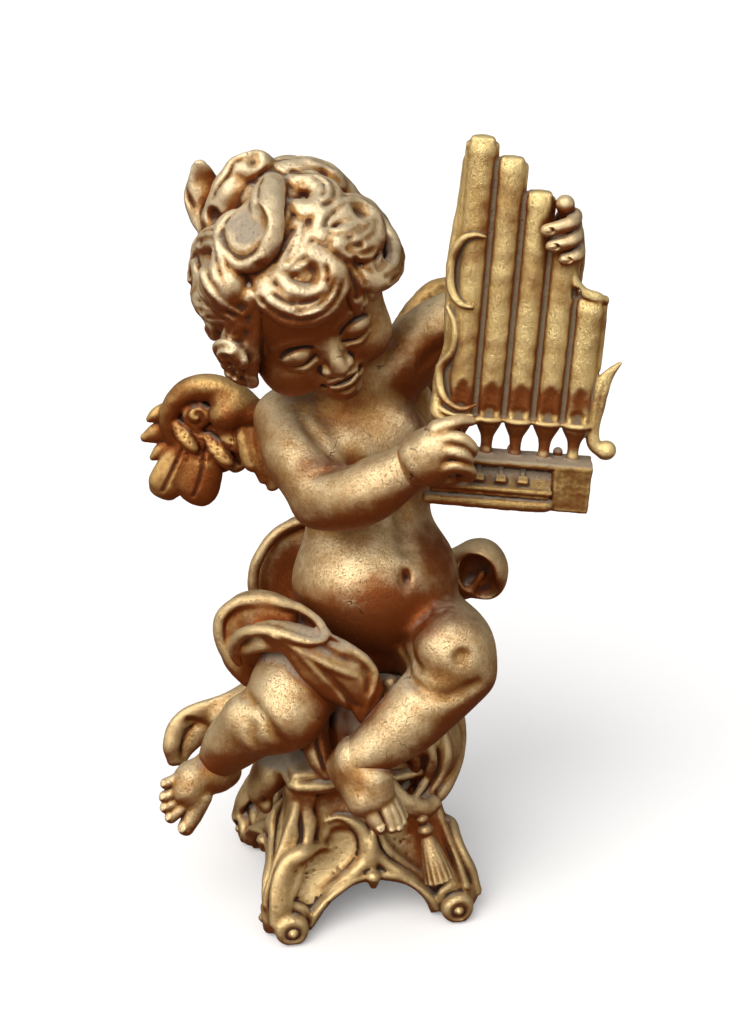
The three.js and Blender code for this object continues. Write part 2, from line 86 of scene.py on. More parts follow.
class Clay:
    """A block of voxels that holds distances to a surface, in mm."""

    def __init__(self, low, high, voxel):
        self.voxel = voxel * COARSE
        self.low = np.array(low, np.float32)
        counts = np.ceil((np.array(high) - self.low) / self.voxel).astype(int) + 1
        self.field = np.full(counts, FAR, np.float32)

    def window(self, low, high, pad):
        first = np.floor((np.array(low) - pad - self.low) / self.voxel).astype(int)
        last = np.ceil((np.array(high) + pad - self.low) / self.voxel).astype(int) + 1
        limits = zip(np.maximum(first, 0), np.minimum(last, self.field.shape))
        return tuple(slice(a, max(a, b)) for a, b in limits)

    def grid(self, window):
        axes = [
            self.low[i] + self.voxel * np.arange(s.start, s.stop, dtype=np.float32)
            for i, s in enumerate(window)
        ]
        return axes[0][:, None, None], axes[1][None, :, None], axes[2][None, None, :]

    def measure(self, blobs, pad):
        """The window round some blobs and the distance to the nearest of them in it."""
        lows = np.min([b.low for b in blobs], axis=0)
        highs = np.max([b.high for b in blobs], axis=0)
        window = self.window(lows, highs, pad)
        near = np.full([s.stop - s.start for s in window], FAR, np.float32)
        for blob in blobs:
            part = self.window(blob.low, blob.high, pad)
            if any(s.stop <= s.start for s in part):
                continue
            inner = tuple(slice(p.start - w.start, p.stop - w.start) for p, w in zip(part, window))
            near[inner] = np.minimum(near[inner], blob.distance(*self.grid(part)))
        return window, near

    def add(self, blobs, blend=0.0):
        window, near = self.measure(blobs, blend + 3 * self.voxel)
        self.field[window] = smooth_min(self.field[window], near, blend)

    def carve(self, blobs, blend=0.0):
        window, near = self.measure(blobs, blend + 3 * self.voxel)
        self.field[window] = -smooth_min(-self.field[window], near, blend)

    def blank(self):
        """An empty block of the same size."""
        other = copy.copy(self)
        other.field = np.full_like(self.field, FAR)
        return other

    def join(self, other, blend=0.0):
        """Adds another block of the same size."""
        self.field = smooth_min(self.field, other.field, blend)

    def add_mass(self, blobs, blend):
        """Adds blobs as one mass, blended only where the mass meets the rest."""
        mass = self.blank()
        mass.add(blobs)
        self.join(mass, blend)

    def press(self, rows, toward=VIEW, sink=0.0, reach=20.0):
        """Rows moved along a direction, or one direction each, onto the surface, then on by sink.

        It looks for the surface up to reach on either side. A row that finds none moves by sink only.
        """
        rows = np.array(rows, np.float32)
        toward = np.broadcast_to(np.array(toward, np.float32), (len(rows), 3))
        toward = toward / np.linalg.norm(toward, axis=1, keepdims=True)
        steps = np.arange(-reach, reach, self.voxel / 2, dtype=np.float32)
        places = rows[:, None, :3] + steps[None, :, None] * toward[:, None, :]
        depth = sample(self.field, self.low, self.voxel, places.reshape(-1, 3)).reshape(len(rows), -1)
        met = np.where((depth < 0).any(axis=1), np.argmax(depth < 0, axis=1), len(steps) // 2)
        rows[:, :3] += (steps[met] + sink)[:, None] * toward
        return rows

    def stipple(self, low, high, pitch, radius, toward=VIEW):
        """Small pits over an area, as a punch leaves them."""
        area = np.sort(np.abs(np.array(high) - low))[1:].prod()
        chance = np.random.default_rng(7)
        spots = chance.uniform(low, high, (int(area / pitch**2), 3))
        rows = self.press(np.hstack([spots, np.full((len(spots), 1), radius)]), toward)
        self.carve([Egg(row[:3], row[3] * chance.uniform(0.7, 1.3)) for row in rows], 0.6)

    def soften(self, width):
        """Rubs the surface smooth over a width."""
        reach = max(1, round(width / self.voxel / 2))
        self.field = box_blur(np.clip(self.field, -SOFT_LIMIT, SOFT_LIMIT), reach)

    def keep(self, blobs):
        """Only what lies inside the blobs stays. They must cover the whole block's solid."""
        window, near = self.measure(blobs, 3 * self.voxel)
        kept = np.full(self.field.shape, FAR, np.float32)
        kept[window] = np.maximum(self.field[window], near)
        self.field = kept

    def ripple(self, depth, pitch):
        """The slight unevenness of a hand-finished casting."""
        x, y, z = self.grid([slice(0, count) for count in self.field.shape])
        k = 2 * math.pi / pitch
        wave = np.sin(k * x + 1.3 * np.sin(0.7 * k * y)) + np.sin(0.9 * k * y + 1.1 * np.sin(0.8 * k * z))
        self.field += (depth / 3) * (wave + np.sin(1.1 * k * z + 1.2 * np.sin(0.6 * k * x)))


class Egg:
    """An ellipsoid; turn is a 3x3 rotation that takes its own axes to the clay's."""

    def __init__(self, at, radii, turn=None):
        self.at = np.array(at, np.float32)
        self.radii = np.array(radii if np.ndim(radii) else [radii] * 3, np.float32)
        self.turn = None if turn is None else np.array(turn, np.float32)
        reach = self.radii if turn is None else np.full(3, self.radii.max())
        self.low, self.high = self.at - reach, self.at + reach

    def distance(self, x, y, z):
        p = [x - self.at[0], y - self.at[1], z - self.at[2]]
        if self.turn is not None:
            p = [sum(p[j] * self.turn[j, i] for j in range(3)) for i in range(3)]
        r = self.radii
        k0 = np.sqrt(sum((p[i] / r[i]) ** 2 for i in range(3)))
        k1 = np.sqrt(sum((p[i] / r[i] ** 2) ** 2 for i in range(3)))
        return k0 * (k0 - 1) / np.maximum(k1, 1e-6)


class Block:
    """A box with rounded edges."""

    def __init__(self, low, high, edge=0.5, turn=None):
        self.middle = (np.array(low, np.float32) + high) / 2
        self.half = (np.array(high, np.float32) - low) / 2 - edge
        self.edge = edge
        self.turn = None if turn is None else np.array(turn, np.float32)
        reach = self.half + edge
        if turn is not None:
            reach = np.full(3, float(np.linalg.norm(reach)))
            self.middle = self.turn @ self.middle
        self.low, self.high = self.middle - reach, self.middle + reach

    def distance(self, x, y, z):
        p = [x - self.middle[0], y - self.middle[1], z - self.middle[2]]
        if self.turn is not None:
            p = [sum(p[j] * self.turn[j, i] for j in range(3)) for i in range(3)]
        q = [np.abs(p[i]) - self.half[i] for i in range(3)]
        outside = np.sqrt(sum(np.maximum(v, 0) ** 2 for v in q))
        inside = np.minimum(np.maximum(np.maximum(q[0], q[1]), q[2]), 0)
        return outside + inside - self.edge


class Drum:
    """A short round bar along one axis (0 x, 1 y, 2 z) with rolled edges."""

    def __init__(self, at, radius, half, axis, edge):
        self.at = np.array(at, np.float32)
        self.radius, self.half, self.axis, self.edge = radius, half, axis, edge
        reach = np.full(3, radius, np.float32)
        reach[axis] = half
        self.low, self.high = self.at - reach, self.at + reach

    def distance(self, x, y, z):
        p = [x - self.at[0], y - self.at[1], z - self.at[2]]
        along = np.abs(p.pop(self.axis)) - (self.half - self.edge)
        around = np.sqrt(p[0] ** 2 + p[1] ** 2) - (self.radius - self.edge)
        outside = np.sqrt(np.maximum(around, 0) ** 2 + np.maximum(along, 0) ** 2)
        return outside + np.minimum(np.maximum(around, along), 0) - self.edge


class Cone:
    """One short length of a round stroke."""

    def __init__(self, a, b, ra, rb):
        self.a, self.ab = a, b - a
        self.ra, self.rb = ra, rb
        self.length2 = max(float(self.ab @ self.ab), 1e-9)
        self.low = np.minimum(a - ra, b - rb)
        self.high = np.maximum(a + ra, b + rb)

    def distance(self, x, y, z):
        px, py, pz = x - self.a[0], y - self.a[1], z - self.a[2]
        t = np.clip((px * self.ab[0] + py * self.ab[1] + pz * self.ab[2]) / self.length2, 0, 1)
        dx, dy, dz = px - t * self.ab[0], py - t * self.ab[1], pz - t * self.ab[2]
        return np.sqrt(dx * dx + dy * dy + dz * dz) - (self.ra + t * (self.rb - self.ra))


class Band:
    """One short length of a flat stroke: wide across, thin along its facing direction."""

    def __init__(self, a, b, wide, thin, facing, ridges, groove):
        self.a, self.ab = a, b - a
        self.wide, self.thin = wide, thin
        self.ridges, self.groove = ridges, groove
        self.length = max(float(np.linalg.norm(self.ab)), 1e-6)
        along = self.ab / self.length
        normal = facing - along * float(facing @ along)
        self.normal = normal / max(float(np.linalg.norm(normal)), 1e-6)
        self.side = np.cross(along, self.normal)
        self.along = along
        reach = max(wide + thin)
        self.low = np.minimum(a, b) - reach
        self.high = np.maximum(a, b) + reach

    def distance(self, x, y, z):
        px, py, pz = x - self.a[0], y - self.a[1], z - self.a[2]
        s = (px * self.along[0] + py * self.along[1] + pz * self.along[2]) / self.length
        t = np.clip(s, 0, 1)
        wide = self.wide[0] + t * (self.wide[1] - self.wide[0])
        thin = self.thin[0] + t * (self.thin[1] - self.thin[0])
        over = (s - t) * self.length
        u = px * self.side[0] + py * self.side[1] + pz * self.side[2]
        v = px * self.normal[0] + py * self.normal[1] + pz * self.normal[2]
        if self.ridges:
            across = np.clip(u / wide, -1, 1)
            thin = thin * (1 - self.groove * (0.5 - 0.5 * np.cos(2 * math.pi * self.ridges * across)))
        k0 = np.sqrt((u / wide) ** 2 + (v / thin) ** 2 + (over / thin) ** 2)
        k1 = np.sqrt((u / wide**2) ** 2 + (v / thin**2) ** 2 + (over / thin**2) ** 2)
        return k0 * (k0 - 1) / np.maximum(k1, 1e-6)


def unit(vector):
    return vector / np.linalg.norm(vector)


def smooth_path(points, steps):
    """A Catmull-Rom curve through rows of numbers, with some steps between each two rows."""
    rows = np.array(points, np.float32)
    if len(rows) < 3 or steps < 2:
        return rows
    padded = np.vstack([2 * rows[0] - rows[1], rows, 2 * rows[-1] - rows[-2]])
    found = []
    for i in range(1, len(padded) - 2):
        p0, p1, p2, p3 = padded[i - 1:i + 3]
        for t in np.arange(steps) / steps:
            found.append(0.5 * (2 * p1 + (p2 - p0) * t + (2 * p0 - 5 * p1 + 4 * p2 - p3) * t**2
                                + (3 * p1 - p0 - 3 * p2 + p3) * t**3))
    return np.array(found + [rows[-1]], np.float32)


def stroke(points, steps=5):
    """Round stroke through rows of x, y, z, radius."""
    rows = smooth_path(points, steps)
    rows[:, 3] = np.maximum(rows[:, 3], 0.3)
    return [Cone(p[:3], q[:3], p[3], q[3]) for p, q in zip(rows, rows[1:])]


def along_surface(clay, points, sink):
    """A stroke laid closely on the clay, as seen by the camera; rows that miss the clay are left out."""
    rows = smooth_path(points, 8)
    laid = clay.press(rows, sink=sink, reach=50)
    laid = laid[np.abs(laid[:, 1] - rows[:, 1]) > 1 + abs(sink)]
    for column in range(3):
        laid[1:-1, column] = (laid[:-2, column] + laid[1:-1, column] + laid[2:, column]) / 3
    return stroke(laid, 1)


def ribbon(points, facing, ridges=0, groove=0.5, steps=5):
    """Flat stroke through rows of x, y, z, half width, half thickness, facing a direction."""
    rows = smooth_path(points, steps)
    rows[:, 3:] = np.maximum(rows[:, 3:], 0.3)
    found = []
    for p, q in zip(rows, rows[1:]):
        face = facing((p[:3] + q[:3]) / 2) if callable(facing) else np.array(facing, np.float32)
        found.append(Band(p[:3], q[:3], (p[3], q[3]), (p[4], q[4]), face, ridges, groove))
    return found


def turn_matrix(x=0, y=0, z=0):
    """3x3 rotation, in degrees: about x first, then y, then z."""
    turned = Matrix.Rotation(math.radians(z), 3, "Z") @ Matrix.Rotation(math.radians(y), 3, "Y")
    return turned @ Matrix.Rotation(math.radians(x), 3, "X")


def placed(at, turn):
    """4x4 matrix from a piece's own frame to the build frame."""
    return Matrix.Translation(at) @ turn.to_4x4()


# ---------- skin ----------

CAVITY_BLUR = 1.6  # mm over which fine hollows and edges are felt
CAVITY_LIMIT = 4.0  # mm from the surface, beyond which nothing counts for them
SHELTER_CELL = 2.0  # mm, cell of the map of what is solid
SHELTER_MARGIN = 30  # mm of open air round the map
NEAR_BLUR, WIDE_BLUR = 1, 4  # cells of that map
CLOSE_BY, FURTHER_OUT = 3.5, 11  # mm in front of the surface, where the map is felt
CRUMB_SHARE, CRUMB_POINTS = 0.02, 40  # skins with fewer points than either are left out
sculpted = []  # (object, clay, matrix, its points in the build frame), for the shelter pass


def box_blur(values, reach):
    """Mean over a cube of 2 * reach + 1 cells."""
    for axis in range(3):
        padded = np.pad(values, [(reach + 1, reach) if i == axis else (0, 0) for i in range(3)], "edge")
        total = np.cumsum(padded, axis=axis, dtype=np.float64)
        width = 2 * reach + 1
        upper = np.take(total, range(width, total.shape[axis]), axis=axis)
        lower = np.take(total, range(0, total.shape[axis] - width), axis=axis)
        values = ((upper - lower) / width).astype(np.float32)
    return values


def sample(values, low, cell, points):
    """Values at points, trilinear."""
    place = np.clip((points - low) / cell, 0, np.array(values.shape) - 1.001)
    base = place.astype(int)
    share = (place - base).astype(np.float32)
    total = 0
    for corner in np.ndindex(2, 2, 2):
        weight = np.prod(np.where(corner, share, 1 - share), axis=1)
        total = total + weight * values[tuple((base + corner).T)]
    return total


def main_part(points, quads):
    """Leaves out crumbs that aren't joined to the main skin."""
    label = np.arange(len(points))
    while True:
        lowest = label[quads].min(axis=1)
        before = label.copy()
        np.minimum.at(label, quads.ravel(), np.repeat(lowest, 4))
        label = label[label]
        if (label == before).all():
            break
    sizes = np.bincount(label[quads[:, 0]], minlength=len(points))
    keep = sizes[label] >= max(sizes.max() * CRUMB_SHARE, CRUMB_POINTS)
    renumber = np.cumsum(keep) - 1
    return points[keep], renumber[quads[keep[quads[:, 0]]]]


def write_value(mesh, name, values):
    """Gives each point of a mesh a number that the materials read."""
    mesh.attributes.new(name, "FLOAT", "POINT").data.foreach_set("value", values)


def skin(name, clay, material, stands_for=(), matrix=None):
    """Meshes a clay block as a piece of the object."""
    matrix = matrix or Matrix.Identity(4)
    scaled = np.clip(clay.field / clay.voxel, -BAND, BAND)
    volume = openvdb.FloatGrid(BAND)
    volume.copyFromArray(scaled, tolerance=0)
    points, quads = volume.convertToQuads(0.0)
    points, quads = main_part(points.astype(np.float32), quads.astype(np.int64))
    local = clay.low + points * clay.voxel
    turn = np.array(matrix, np.float32)
    build = local @ turn[:3, :3].T + turn[:3, 3]
    mesh = bpy.data.meshes.new(name)
    mesh.vertices.add(len(build))
    mesh.vertices.foreach_set("co", ((build * MM) + np.array(START, np.float32)).ravel())
    mesh.loops.add(quads.size)
    mesh.loops.foreach_set("vertex_index", quads.ravel().astype(np.int32))
    mesh.polygons.add(len(quads))
    mesh.polygons.foreach_set("loop_start", np.arange(0, quads.size, 4, dtype=np.int32))
    mesh.polygons.foreach_set("use_smooth", np.ones(len(quads), bool))
    mesh.update(calc_edges=True)
    reach = max(1, round(CAVITY_BLUR / clay.voxel))
    limited = np.clip(clay.field, -CAVITY_LIMIT, CAVITY_LIMIT)
    edge = box_blur(limited, reach) - limited
    write_value(mesh, "cavity", sample(edge, clay.low, clay.voxel, local))
    mesh.materials.append(material)
    piece = bpy.data.objects.new(name, mesh)
    bpy.context.scene.collection.objects.link(piece)
    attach(piece, "root")
    if stands_for:
        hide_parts(*stands_for)
    sculpted.append((piece, clay, matrix, build))
    return piece


# Broad red-brown patches, partly stains where the bole shows through and partly painted shade where the
# figure falls in shadow, and where dust has settled: middle, radii.
STAINS_AND_SHADE = [
    ((52, -24, 216), (17, 26, 46)), ((26, -44, 180), (34, 22, 16)), ((-8, -40, 166), (26, 20, 9)),
    ((-4, -32, 270), (13, 10, 11)), ((44, -4, 292), (24, 16, 13)), ((38, -14, 274), (12, 12, 20)),
    ((-12, -58, 128), (9, 16, 17)), ((56, -50, 134), (24, 18, 10)), ((-52, -44, 100), (22, 18, 8)),
    ((8, -50, 122), (18, 16, 18)), ((-24, -58, 324), (24, 16, 7)), ((-34, 28, 164), (13, 9, 24)),
    ((66, 8, 172), (10, 12, 12)), ((0, -44, 68), (24, 14, 9)), ((40, -40, 46), (14, 16, 20)),
    ((-74, 20, 250), (22, 11.5, 22)), ((-72, 15, 222), (10, 10, 12)), ((-60, 8, 262), (7, 10, 6)),
    ((-44, -32, 158), (14, 12, 16)), ((0, -30, 112), (30, 22, 12)), ((-4, -44, 252), (16, 12, 8)),
    ((10, -40, 356), (12, 10, 7)), ((-2, -36, 346), (16, 12, 5)), ((76, -50, 285), (36, 9, 5)),
    ((76, -42, 264), (36, 9, 5)),
]
DUST_PLACES = [
    ((-43, -60, 365), (9, 10, 8)),
    ((20, -56, 160), (14, 18, 14)), ((-6, -52, 168), (22, 16, 8)), ((6, -42, 112), (12, 16, 14)),
    ((78, -46, 256), (38, 18, 5)), ((-38, -20, 88), (10, 26, 14)),
]


def covered_by(places, points):
    """1 well inside any of the places, 0 well outside, smooth between."""
    found = np.zeros(len(points), np.float32)
    for middle, radii in places:
        away = np.linalg.norm((points - np.array(middle)) / np.array(radii), axis=1)
        found = np.maximum(found, np.clip((1.6 - away) / 1.2, 0, 1))
    return found


def shelter_pass():
    """Marks how deep each point lies between its surroundings, which the materials use to paint shade, where
    the listed patches of stains and painted shade lie, and where settled dusting is.
    """
    low = np.min([build.min(axis=0) for *_, build in sculpted], axis=0) - SHELTER_MARGIN
    high = np.max([build.max(axis=0) for *_, build in sculpted], axis=0) + SHELTER_MARGIN
    counts = np.ceil((high - low) / SHELTER_CELL).astype(int)
    solid = np.zeros(counts, np.float32)
    for _, clay, matrix, build in sculpted:
        first = ((build.min(axis=0) - low) / SHELTER_CELL).astype(int) - 1
        last = ((build.max(axis=0) - low) / SHELTER_CELL).astype(int) + 2
        part = tuple(slice(a, b) for a, b in zip(first, last))
        axes = [low[i] + SHELTER_CELL * np.arange(first[i], last[i]) for i in range(3)]
        places = np.stack(np.meshgrid(*axes, indexing="ij"), axis=-1).reshape(-1, 3)
        back = np.array(matrix.inverted())
        index = np.round((places @ back[:3, :3].T + back[:3, 3] - clay.low) / clay.voxel).astype(int)
        inside = np.all((index >= 0) & (index < clay.field.shape), axis=1)
        index = np.clip(index, 0, np.array(clay.field.shape) - 1)
        depth = np.where(inside, clay.field[tuple(index.T)], FAR)
        filled = np.clip(0.5 - depth / SHELTER_CELL, 0, 1).reshape(solid[part].shape)
        solid[part] = np.maximum(solid[part], filled)
    near = box_blur(box_blur(solid, NEAR_BLUR), NEAR_BLUR)
    wide = box_blur(box_blur(solid, WIDE_BLUR), WIDE_BLUR)
    for piece, _, _, build in sculpted:
        normals = np.empty(len(build) * 3, np.float32)
        piece.data.vertices.foreach_get("normal", normals)
        normals = normals.reshape(-1, 3)
        close = sample(near, low, SHELTER_CELL, build + normals * CLOSE_BY)
        broad = sample(wide, low, SHELTER_CELL, build + normals * FURTHER_OUT)
        write_value(piece.data, "shelter", np.clip(1.3 * close + 1.1 * broad, 0, 2).astype(np.float32))
        write_value(piece.data, "stain_and_shade", covered_by(STAINS_AND_SHADE, build))
        write_value(piece.data, "settled", covered_by(DUST_PLACES, build))


# ---------- materials ----------

class Nodes:
    """Short names for building a node tree."""

    def __init__(self, name):
        self.material = bpy.data.materials.new(name)
        self.material.use_nodes = True
        self.tree = self.material.node_tree
        self.tree.nodes.clear()
        self.output = self.tree.nodes.new("ShaderNodeOutputMaterial")
        self.place = self.add("ShaderNodeTexCoord").outputs["Object"]

    def add(self, kind, inputs=None, **settings):
        node = self.tree.nodes.new(kind)
        for key, value in settings.items():
            setattr(node, key, value)
        for key, value in (inputs or {}).items():
            if isinstance(value, bpy.types.NodeSocket):
                self.tree.links.new(value, node.inputs[key])
            else:
                node.inputs[key].default_value = value
        return node

    def noise(self, size_mm, detail=3.0, rough=0.6, seed=0.0):
        """Noise of a feature size in mm, about 0 to 1."""
        moved = self.add("ShaderNodeVectorMath", {0: self.place, 1: (seed, 2 * seed, 3 * seed)})
        inputs = {"Vector": moved.outputs[0], "Scale": 1 / (size_mm * MM),
                  "Detail": detail, "Roughness": rough}
        return self.add("ShaderNodeTexNoise", inputs).outputs["Fac"]

    def span(self, value, low, high, to_low=0.0, to_high=1.0):
        """Smoothly maps low..high to to_low..to_high, clamped."""
        inputs = {"Value": value, "From Min": low, "From Max": high, "To Min": to_low, "To Max": to_high}
        return self.add("ShaderNodeMapRange", inputs, interpolation_type="SMOOTHSTEP").outputs[0]

    def math(self, operation, a, b=0.0):
        return self.add("ShaderNodeMath", {0: a, 1: b}, operation=operation).outputs[0]

    def total(self, *terms):
        """Sum of value * weight."""
        found = 0.0
        for value, weight in terms:
            inputs = {0: value, 1: weight, 2: found}
            found = self.add("ShaderNodeMath", inputs, operation="MULTIPLY_ADD").outputs[0]
        return found

    def mix(self, share, a, b):
        node = self.add("ShaderNodeMix", {0: share}, data_type="RGBA")
        for index, value in ((6, a), (7, b)):
            if isinstance(value, bpy.types.NodeSocket):
                self.tree.links.new(value, node.inputs[index])
            else:
                node.inputs[index].default_value = (*value, 1)
        return node.outputs[2]

    def blend(self, share, a, b):
        node = self.add("ShaderNodeMix", {0: share, 2: a, 3: b}, data_type="FLOAT")
        return node.outputs[0]

    def attribute(self, name):
        return self.add("ShaderNodeAttribute", attribute_name=name).outputs["Fac"]

    def bump(self, height, depth_mm, strength=1.0, normal=None):
        inputs = {"Height": height, "Distance": depth_mm * MM, "Strength": strength}
        if normal:
            inputs["Normal"] = normal
        return self.add("ShaderNodeBump", inputs).outputs[0]

    def surface(self, **inputs):
        named = {key.replace("_", " "): value for key, value in inputs.items()}
        shader = self.add("ShaderNodeBsdfPrincipled")
        for key, value in named.items():
            socket = next(s for s in shader.inputs if s.name.lower() == key.lower())
            if isinstance(value, bpy.types.NodeSocket):
                self.tree.links.new(value, socket)
            else:
                socket.default_value = (*value, 1) if isinstance(value, tuple) else value
        self.tree.links.new(shader.outputs[0], self.output.inputs["Surface"])
        return self.material


# The pale and mid golds also act as lit and shaded gold, the bole red and grime brown also paint shade, and
# the dust grey also paints the sky's reflection on upward faces.
PALE_GOLD = (0.76, 0.585, 0.335)
MID_GOLD = (0.40, 0.215, 0.070)
YELLOW_GOLD = (0.52, 0.33, 0.105)
BOLE_AND_SHADE = (0.245, 0.062, 0.014)
GRIME_AND_SHADE = (0.026, 0.011, 0.006)
DUST_AND_SKY_GREY = (0.36, 0.295, 0.215)


def gilt(name, gold=PALE_GOLD, warm=MID_GOLD, dust_and_sky_amount=1.0,
         grime_and_shade_amount=1.0, pits=0.5, cracks=0.0, fill=GRIME_AND_SHADE, worn=0.25):
    """Old gilding with painted light: bole red in stains and hollows, and as painted shade below and in
    shelter; dark grimy hollows, and painted shade in deep corners; grey dusting, and a painted sky reflection
    on top.
    """
    n = Nodes(name)
    cavity = n.attribute("cavity")
    shelter = n.attribute("shelter")
    stain_and_shade = n.attribute("stain_and_shade")
    settled = n.attribute("settled")
    facing = n.add("ShaderNodeSeparateXYZ", {0: n.add("ShaderNodeNewGeometry").outputs["Normal"]})
    up = facing.outputs["Z"]
    cloud = n.math("SUBTRACT", n.noise(24, 4, 0.6, 1.0), 0.5)
    blotch = n.math("SUBTRACT", n.noise(5, 5, 0.65, 2.0), 0.5)
    speck = n.noise(0.8, 3, 0.7, 3.0)
    grain = n.noise(0.4, 2, 0.5, 4.0)
    mottle = n.math("SUBTRACT", n.noise(1.7, 4, 0.7, 5.0), 0.5)

    # Paler metal on convex edges and in broad random clouds; paler also on open faces that look up and darker
    # where sheltered, which is painted light and painted shade.
    open_air = n.span(shelter, 0.6, 0.16)
    shine = n.total((n.span(cavity, -0.08, 0.22), 0.5), (open_air, 0.45),
                    (up, 0.34), (cloud, 1.6), (blotch, 0.6), (mottle, 0.5))
    bright = n.span(shine, 0.30, 1.10)
    colour = n.mix(bright, warm, gold)

    # Red-brown bole: painted shade on faces that look down and in sheltered places, and bole showing in the
    # listed stain-and-shade patches, in hollows and in random clouds.
    bole_and_shade_share = n.total((n.span(up, 0.36, -0.55), 1.0), (n.span(shelter, 0.24, 0.80), 0.8),
                   (stain_and_shade, 0.95), (n.span(cavity, 0.0, -0.35), worn), (blotch, 1.0), (cloud, -1.5))
    bole_and_shade_share = n.math("MULTIPLY", n.span(bole_and_shade_share, 0.10, 1.05), 0.96)
    colour = n.mix(bole_and_shade_share, colour, BOLE_AND_SHADE)

    # Dark colour: grime in fine hollows and stray flecks, and painted shade in deep sheltered corners.
    deep = n.total((n.span(cavity, -0.04, -0.34), 0.95), (n.span(shelter, 0.75, 1.5), 0.75),
                   (n.math("SUBTRACT", speck, 0.5), 0.8), (blotch, 0.5))
    dark_grime_and_shade = n.math("MULTIPLY", n.span(deep, 0.3, 1.0), grime_and_shade_amount)
    fleck = n.math("MULTIPLY", n.span(speck, 0.60, 0.70), n.span(blotch, -0.06, 0.12))
    dark_grime_and_shade = n.math("MAXIMUM", dark_grime_and_shade, n.math("MULTIPLY", fleck, 0.7))
    colour = n.mix(dark_grime_and_shade, colour, fill)

    # Grey on what looks up, thicker where sheltered and at the listed places: partly dust, partly a painted
    # reflection of the pale sky on upward faces.
    lying = n.span(n.total((blotch, 1.0), (n.span(shelter, 0.2, 0.9), 0.45),
                           (up, 0.5), (settled, 0.6)), 0.35, 0.85)
    lies = n.span(n.total((up, 1.0), (settled, 0.5)), 0.25, 0.9)
    dust_and_sky_sheen = n.math("MULTIPLY", n.math("MULTIPLY", lies, lying), 0.85 * dust_and_sky_amount)
    colour = n.mix(dust_and_sky_sheen, colour, DUST_AND_SKY_GREY)

    covered = n.math("MAXIMUM", dark_grime_and_shade, dust_and_sky_sheen)
    metal = n.blend(covered, n.blend(bole_and_shade_share, 0.86, 0.94), 0.0)
    rough = n.math("ADD", n.blend(bright, 0.52, 0.40),
                   n.math("MULTIPLY", n.math("SUBTRACT", grain, 0.5), 0.2))
    rough = n.blend(covered, n.blend(bole_and_shade_share, rough, 0.52), 0.85)

    relief = n.total((grain, 0.45), (n.span(speck, 0.42, 0.28), -1.0), (mottle, 0.6))
    bumped = n.bump(relief, pits)
    bumped = n.bump(blotch, 0.7, 0.5, bumped)
    if cracks:
        wander = n.add("ShaderNodeTexNoise", {"Vector": n.place, "Scale": 120.0}).outputs["Color"]
        wander = n.add("ShaderNodeVectorMath", {0: wander, "Scale": 0.012}, operation="SCALE").outputs[0]
        moved = n.add("ShaderNodeVectorMath", {0: n.place, 1: wander}).outputs[0]
        cells = n.add("ShaderNodeTexVoronoi", {"Vector": moved, "Scale": 1 / (26 * MM)},
                      feature="DISTANCE_TO_EDGE")
        split = n.math("MULTIPLY", n.span(cells.outputs["Distance"], 0.010, 0.0), n.span(cloud, 0.04, 0.12))
        colour = n.mix(n.math("MULTIPLY", split, cracks), colour, GRIME_AND_SHADE)
        bumped = n.bump(n.math("MULTIPLY", split, -1.0), 0.3, 1.0, bumped)
    return n.surface(base_color=colour, metallic=metal, roughness=rough,
                     specular_ior_level=0.25, normal=bumped)


def steel():
    n = Nodes("drawn_steel")
    drawn = n.add("ShaderNodeMapping", {"Vector": n.place, "Scale": (1.0, 1.0, 0.05)}).outputs[0]
    fine = {"Vector": drawn, "Scale": 1 / (0.4 * MM), "Detail": 3.0}
    lines = n.add("ShaderNodeTexNoise", fine).outputs["Fac"]
    tarnish = n.span(n.noise(3, 4), 0.5, 0.75)
    colour = n.mix(tarnish, (0.55, 0.55, 0.56), (0.26, 0.22, 0.18))
    rough = n.math("ADD", n.math("MULTIPLY", lines, 0.2), 0.28)
    return n.surface(base_color=colour, metallic=1.0, roughness=rough, normal=n.bump(lines, 0.03))


def felt():
    n = Nodes("wool_felt")
    fibre = n.noise(0.35, 6, 0.8)
    cloud = n.noise(2.5, 3)
    colour = n.mix(n.span(fibre, 0.3, 0.7), (0.02, 0.055, 0.035), (0.06, 0.14, 0.09))
    colour = n.mix(n.span(cloud, 0.5, 0.8), colour, (0.09, 0.13, 0.09))
    return n.surface(base_color=colour, roughness=0.95, sheen_weight=0.4, normal=n.bump(fibre, 0.25))


SKIN_GILT = gilt("gilt_skin", cracks=0.8)
CLOTH_GILT = gilt("gilt_cloth", gold=(0.68, 0.50, 0.26), grime_and_shade_amount=0.9, worn=0.6)
HAIR_GILT = gilt("gilt_hair", gold=(0.76, 0.61, 0.39), dust_and_sky_amount=1.3, grime_and_shade_amount=0.8, worn=0.5)
FEATHER_GILT = gilt("gilt_feathers", gold=(0.60, 0.38, 0.14),
                    warm=(0.25, 0.10, 0.025), dust_and_sky_amount=0.6, pits=0.45, grime_and_shade_amount=0.8)
PIPE_GILT = gilt("gilt_organ", gold=(0.82, 0.63, 0.29), warm=YELLOW_GOLD,
                 dust_and_sky_amount=0.5, pits=0.7, fill=(0.19, 0.140, 0.085))
CHEST_GILT = gilt("gilt_chest", gold=(0.46, 0.30, 0.11), warm=(0.27, 0.14, 0.04),
                  pits=0.6, fill=(0.05, 0.030, 0.017))
PEDESTAL_GILT = gilt("gilt_pedestal", gold=(0.62, 0.45, 0.22),
                     warm=(0.32, 0.18, 0.06), dust_and_sky_amount=1.1, pits=0.4, worn=0.5)


# ---------- body: torso, arms and legs in one skin ----------

TORSO_TURN = turn_matrix(z=20)  # the chest faces a little to the viewer's right


